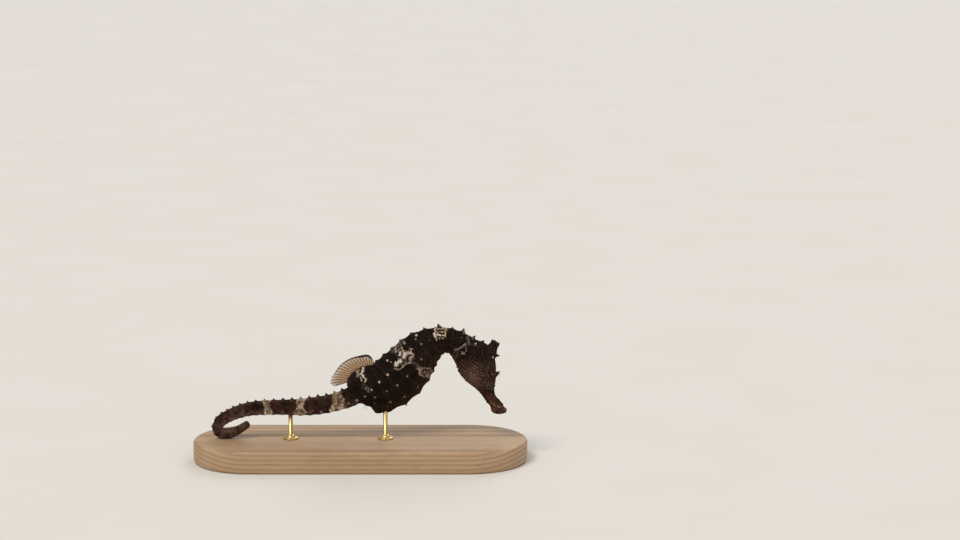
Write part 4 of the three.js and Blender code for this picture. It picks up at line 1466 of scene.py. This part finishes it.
def dorsal_band(share, out):
    """The dark foot, free edge and first and last rays. The edge is widest in two blotches at the front."""
    edge_depth = 0.07 + 0.1 * ridge(share - 0.24, 0.08) + 0.16 * ridge(share - 0.1, 0.06)
    strength = 1 - 0.6 * smoothstep(share, 0.3, 0.7) - 0.4 * smoothstep(share, 0.65, 0.85)
    edge = smoothstep(out, 1 - edge_depth - 0.05, 1 - edge_depth) * strength
    first = falling(share, 0.01, 0.035) * 0.9
    last = smoothstep(share, 0.965, 0.99) * (np.sin(out * 26) > 0.3) * 0.8
    foot = falling(out, 0.05, 0.2 + 0.05 * np.sin(share * 40)) * 0.85
    return np.clip(edge + first + last + foot, 0, 1)


def fan_lines(foot, radius, heading, spread, steps=9):
    """The root and the free edge of a fan that opens round its heading."""
    angles = [math.radians(heading + spread * (i / (steps - 1) - 0.5)) for i in range(steps)]
    return tuple([[r * math.cos(a), r * math.sin(a)] for a in angles] for r in (foot, radius))


PECTORAL_PLACE = np.array([38, 3.2, 33])
PECTORAL_FLARE = math.radians(24)
PECTORAL_CUP = 0.024
PECTORAL_RAYS = 14
ANAL_PLACE = np.array([2.8, 0, 13.9])
ANAL_RAYS = 4


def pectoral_turn(hand):
    """Stands the flat fan on the side of the neck, flared out and cupped a little."""
    def turn(points):
        x, y, z = points.T
        y = y + PECTORAL_CUP * (x**2 + z**2)
        flare_x = x * math.cos(PECTORAL_FLARE) + y * math.sin(PECTORAL_FLARE)
        flare_y = y * math.cos(PECTORAL_FLARE) - x * math.sin(PECTORAL_FLARE)
        return (np.stack([flare_x, flare_y, z], axis=1) + PECTORAL_PLACE) * np.array([1, hand, 1])
    return turn


def make_fins(tan, clear):
    make_fin("fin_dorsal", DORSAL_ROOT, DORSAL_EDGE, DORSAL_RAYS, tan, ripple=0.22, band=dorsal_band)
    anal = fan_lines(0.9, 3.6, -112, 34)
    make_fin("fin_anal", *anal, ANAL_RAYS, clear, turn=lambda points: points + ANAL_PLACE)
    pectoral = fan_lines(1.0, 4.6, 178, 74)
    for name, hand in (("fin_pectoral_right", -1), ("fin_pectoral_left", 1)):
        make_fin(name, *pectoral, PECTORAL_RAYS, clear, turn=pectoral_turn(hand), ray_half=0.09)


# ---------- Stand ----------

def stadium(half_length, radius, count):
    """Points round an outline with straight sides and round ends."""
    angles = np.linspace(-math.pi / 2, 3 * math.pi / 2, count, endpoint=False)
    middle = np.where(np.cos(angles) >= 0, half_length, -half_length)
    return np.stack([middle + radius * np.cos(angles), radius * np.sin(angles)], axis=1)


BASE_ROUNDING = 1.2
BASE_FACE_INSET = 12  # inset of the innermost ring of points on the top and the bottom
ROD_RADIUS = 0.8
FOOT_FILLET = 0.9


def make_base(material):
    low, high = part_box("stand_base")
    half_width = (high.y - low.y) / 2 / MM
    half_length = (high.x - low.x) / 2 / MM - half_width
    height = (high.z - low.z) / MM
    corner = [
        (BASE_ROUNDING * (1 - math.sin(a)), BASE_ROUNDING * (1 - math.cos(a)))
        for a in np.linspace(0.2, math.pi / 2, 6)
    ]
    rows = []
    for inset, level in [(BASE_FACE_INSET, 0), (BASE_ROUNDING, 0), *corner]:
        ring = stadium(half_length, half_width - inset, 160)
        rows.append(np.column_stack([ring, np.full(len(ring), level)]))
    rows += [row * np.array([1, 1, -1]) + np.array([0, 0, height]) for row in reversed(rows)]
    piece = new_mesh("stand_base_wood", *tube_mesh(np.array(rows)))
    place_piece(piece, material, ["stand_base"], lift=0)


def make_rod(node, material):
    """A rod on a round foot, with a fillet between them."""
    low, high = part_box(node)
    foot_radius = (high.x - low.x) / 2 / MM
    height = (high.z - low.z) / MM
    root = ((low.x + high.x) / 2 / MM, 0, low.z / MM)
    fillet = [
        (0.7 + FOOT_FILLET * math.sin(a), ROD_RADIUS + FOOT_FILLET * math.cos(a))
        for a in np.linspace(0, math.pi / 2, 8)
    ]
    profile = [
        (0, foot_radius - 0.15), (0.15, foot_radius), (0.5, foot_radius), (0.66, foot_radius - 0.16),
        *fillet, (height - 0.2, ROD_RADIUS), (height, ROD_RADIUS - 0.2),
    ]
    piece = new_mesh(node + "_brass", *turned(root, (0, 0, 1), profile, 64))
    place_piece(piece, material, [node], lift=0)


# ---------- Studio ----------

PIXEL = 0.37  # millimetres that one pixel of the 960-pixel-wide frame covers in the plane of the fish
FRAME_WIDTH = 960
FRAME_HEIGHT = 540
FISH_ORIGIN_PIXEL = (360, 439.3)  # where the fish frame's x = 0, z = 0 falls
LENS = 85
SENSOR = 36
SUN_AIM = (0, 0, 0.03)
# Soft suns: name, place, energy, colour and the degrees of sky that each is spread over.
SUNS = [
    ("key", (-0.45, -0.55, 1.0), 1.6, (1.0, 0.965, 0.91), 24),
    ("fill", (0.8, -0.8, 0.6), 0.4, (0.95, 0.97, 1.0), 50),
    ("rim", (0.3, 0.9, 0.8), 0.55, (1.0, 0.98, 0.95), 30),
]
FLOOR_CORNERS = [[-9000, -9000, 0], [9000, -9000, 0], [9000, 12000, 0], [-9000, 12000, 0]]
SKY_COLOUR = (0.94, 0.96, 1.0, 1)
SKY_STRENGTH = 0.46


def make_camera():
    data = bpy.data.cameras.new("camera")
    data.lens = LENS
    data.sensor_width = SENSOR
    data.clip_start = 0.01
    data.clip_end = 50
    camera = add_object("camera", data)
    over_fish = ((FISH_ORIGIN_PIXEL[1] - FRAME_HEIGHT / 2) * PIXEL - FISH_MIDDLE) / math.cos(ELEVATION)
    distance = FRAME_WIDTH * PIXEL * LENS / SENSOR - over_fish * math.sin(ELEVATION)
    across = (FRAME_WIDTH / 2 - FISH_ORIGIN_PIXEL[0]) * PIXEL
    target = Vector((across, 0, FISH_LIFT + FISH_MIDDLE + over_fish))
    back = Vector((0, -math.cos(ELEVATION), math.sin(ELEVATION))) * distance
    camera.location = (target + back) * MM
    camera.rotation_euler = (math.pi / 2 - ELEVATION, 0, 0)
    bpy.context.scene.camera = camera


def make_sun(name, place, energy, colour, spread):
    data = bpy.data.lights.new(name, "SUN")
    data.energy = energy
    data.color = colour
    data.angle = math.radians(spread)
    light = add_object(name, data)
    light.location = place
    light.rotation_euler = (Vector(SUN_AIM) - Vector(place)).to_track_quat("-Z", "Y").to_euler()


def make_studio():
    floor = new_mesh("studio_floor", FLOOR_CORNERS, [[0, 1, 2, 3]])
    floor.data.materials.append(floor_material())
    move_points(floor.data, mesh_points(floor.data) * MM)
    for sun in SUNS:
        make_sun(*sun)
    world = bpy.data.worlds.new("studio")
    bpy.context.scene.world = world
    world.use_nodes = True
    sky = world.node_tree.nodes["Background"]
    sky.inputs["Color"].default_value = SKY_COLOUR
    sky.inputs["Strength"].default_value = SKY_STRENGTH
    bpy.context.scene.view_settings.view_transform = "Standard"


make_camera()
make_studio()
make_skin(skin_material())
eyes = eye_material()
make_eye("eye_right", -1, eyes)
make_eye("eye_left", 1, eyes)
make_fins(
    fin_material("fin_membrane", 0.66, 0.42, FIN_TANS, RAY_BROWN),
    fin_material("fin_membrane_clear", 0.06, 0.12, FIN_GREYS, RAY_GREY),
)
make_base(wood_material())
brass = brass_material()
for rod in ("stand_rod_front", "stand_rod_rear"):
    make_rod(rod, brass)
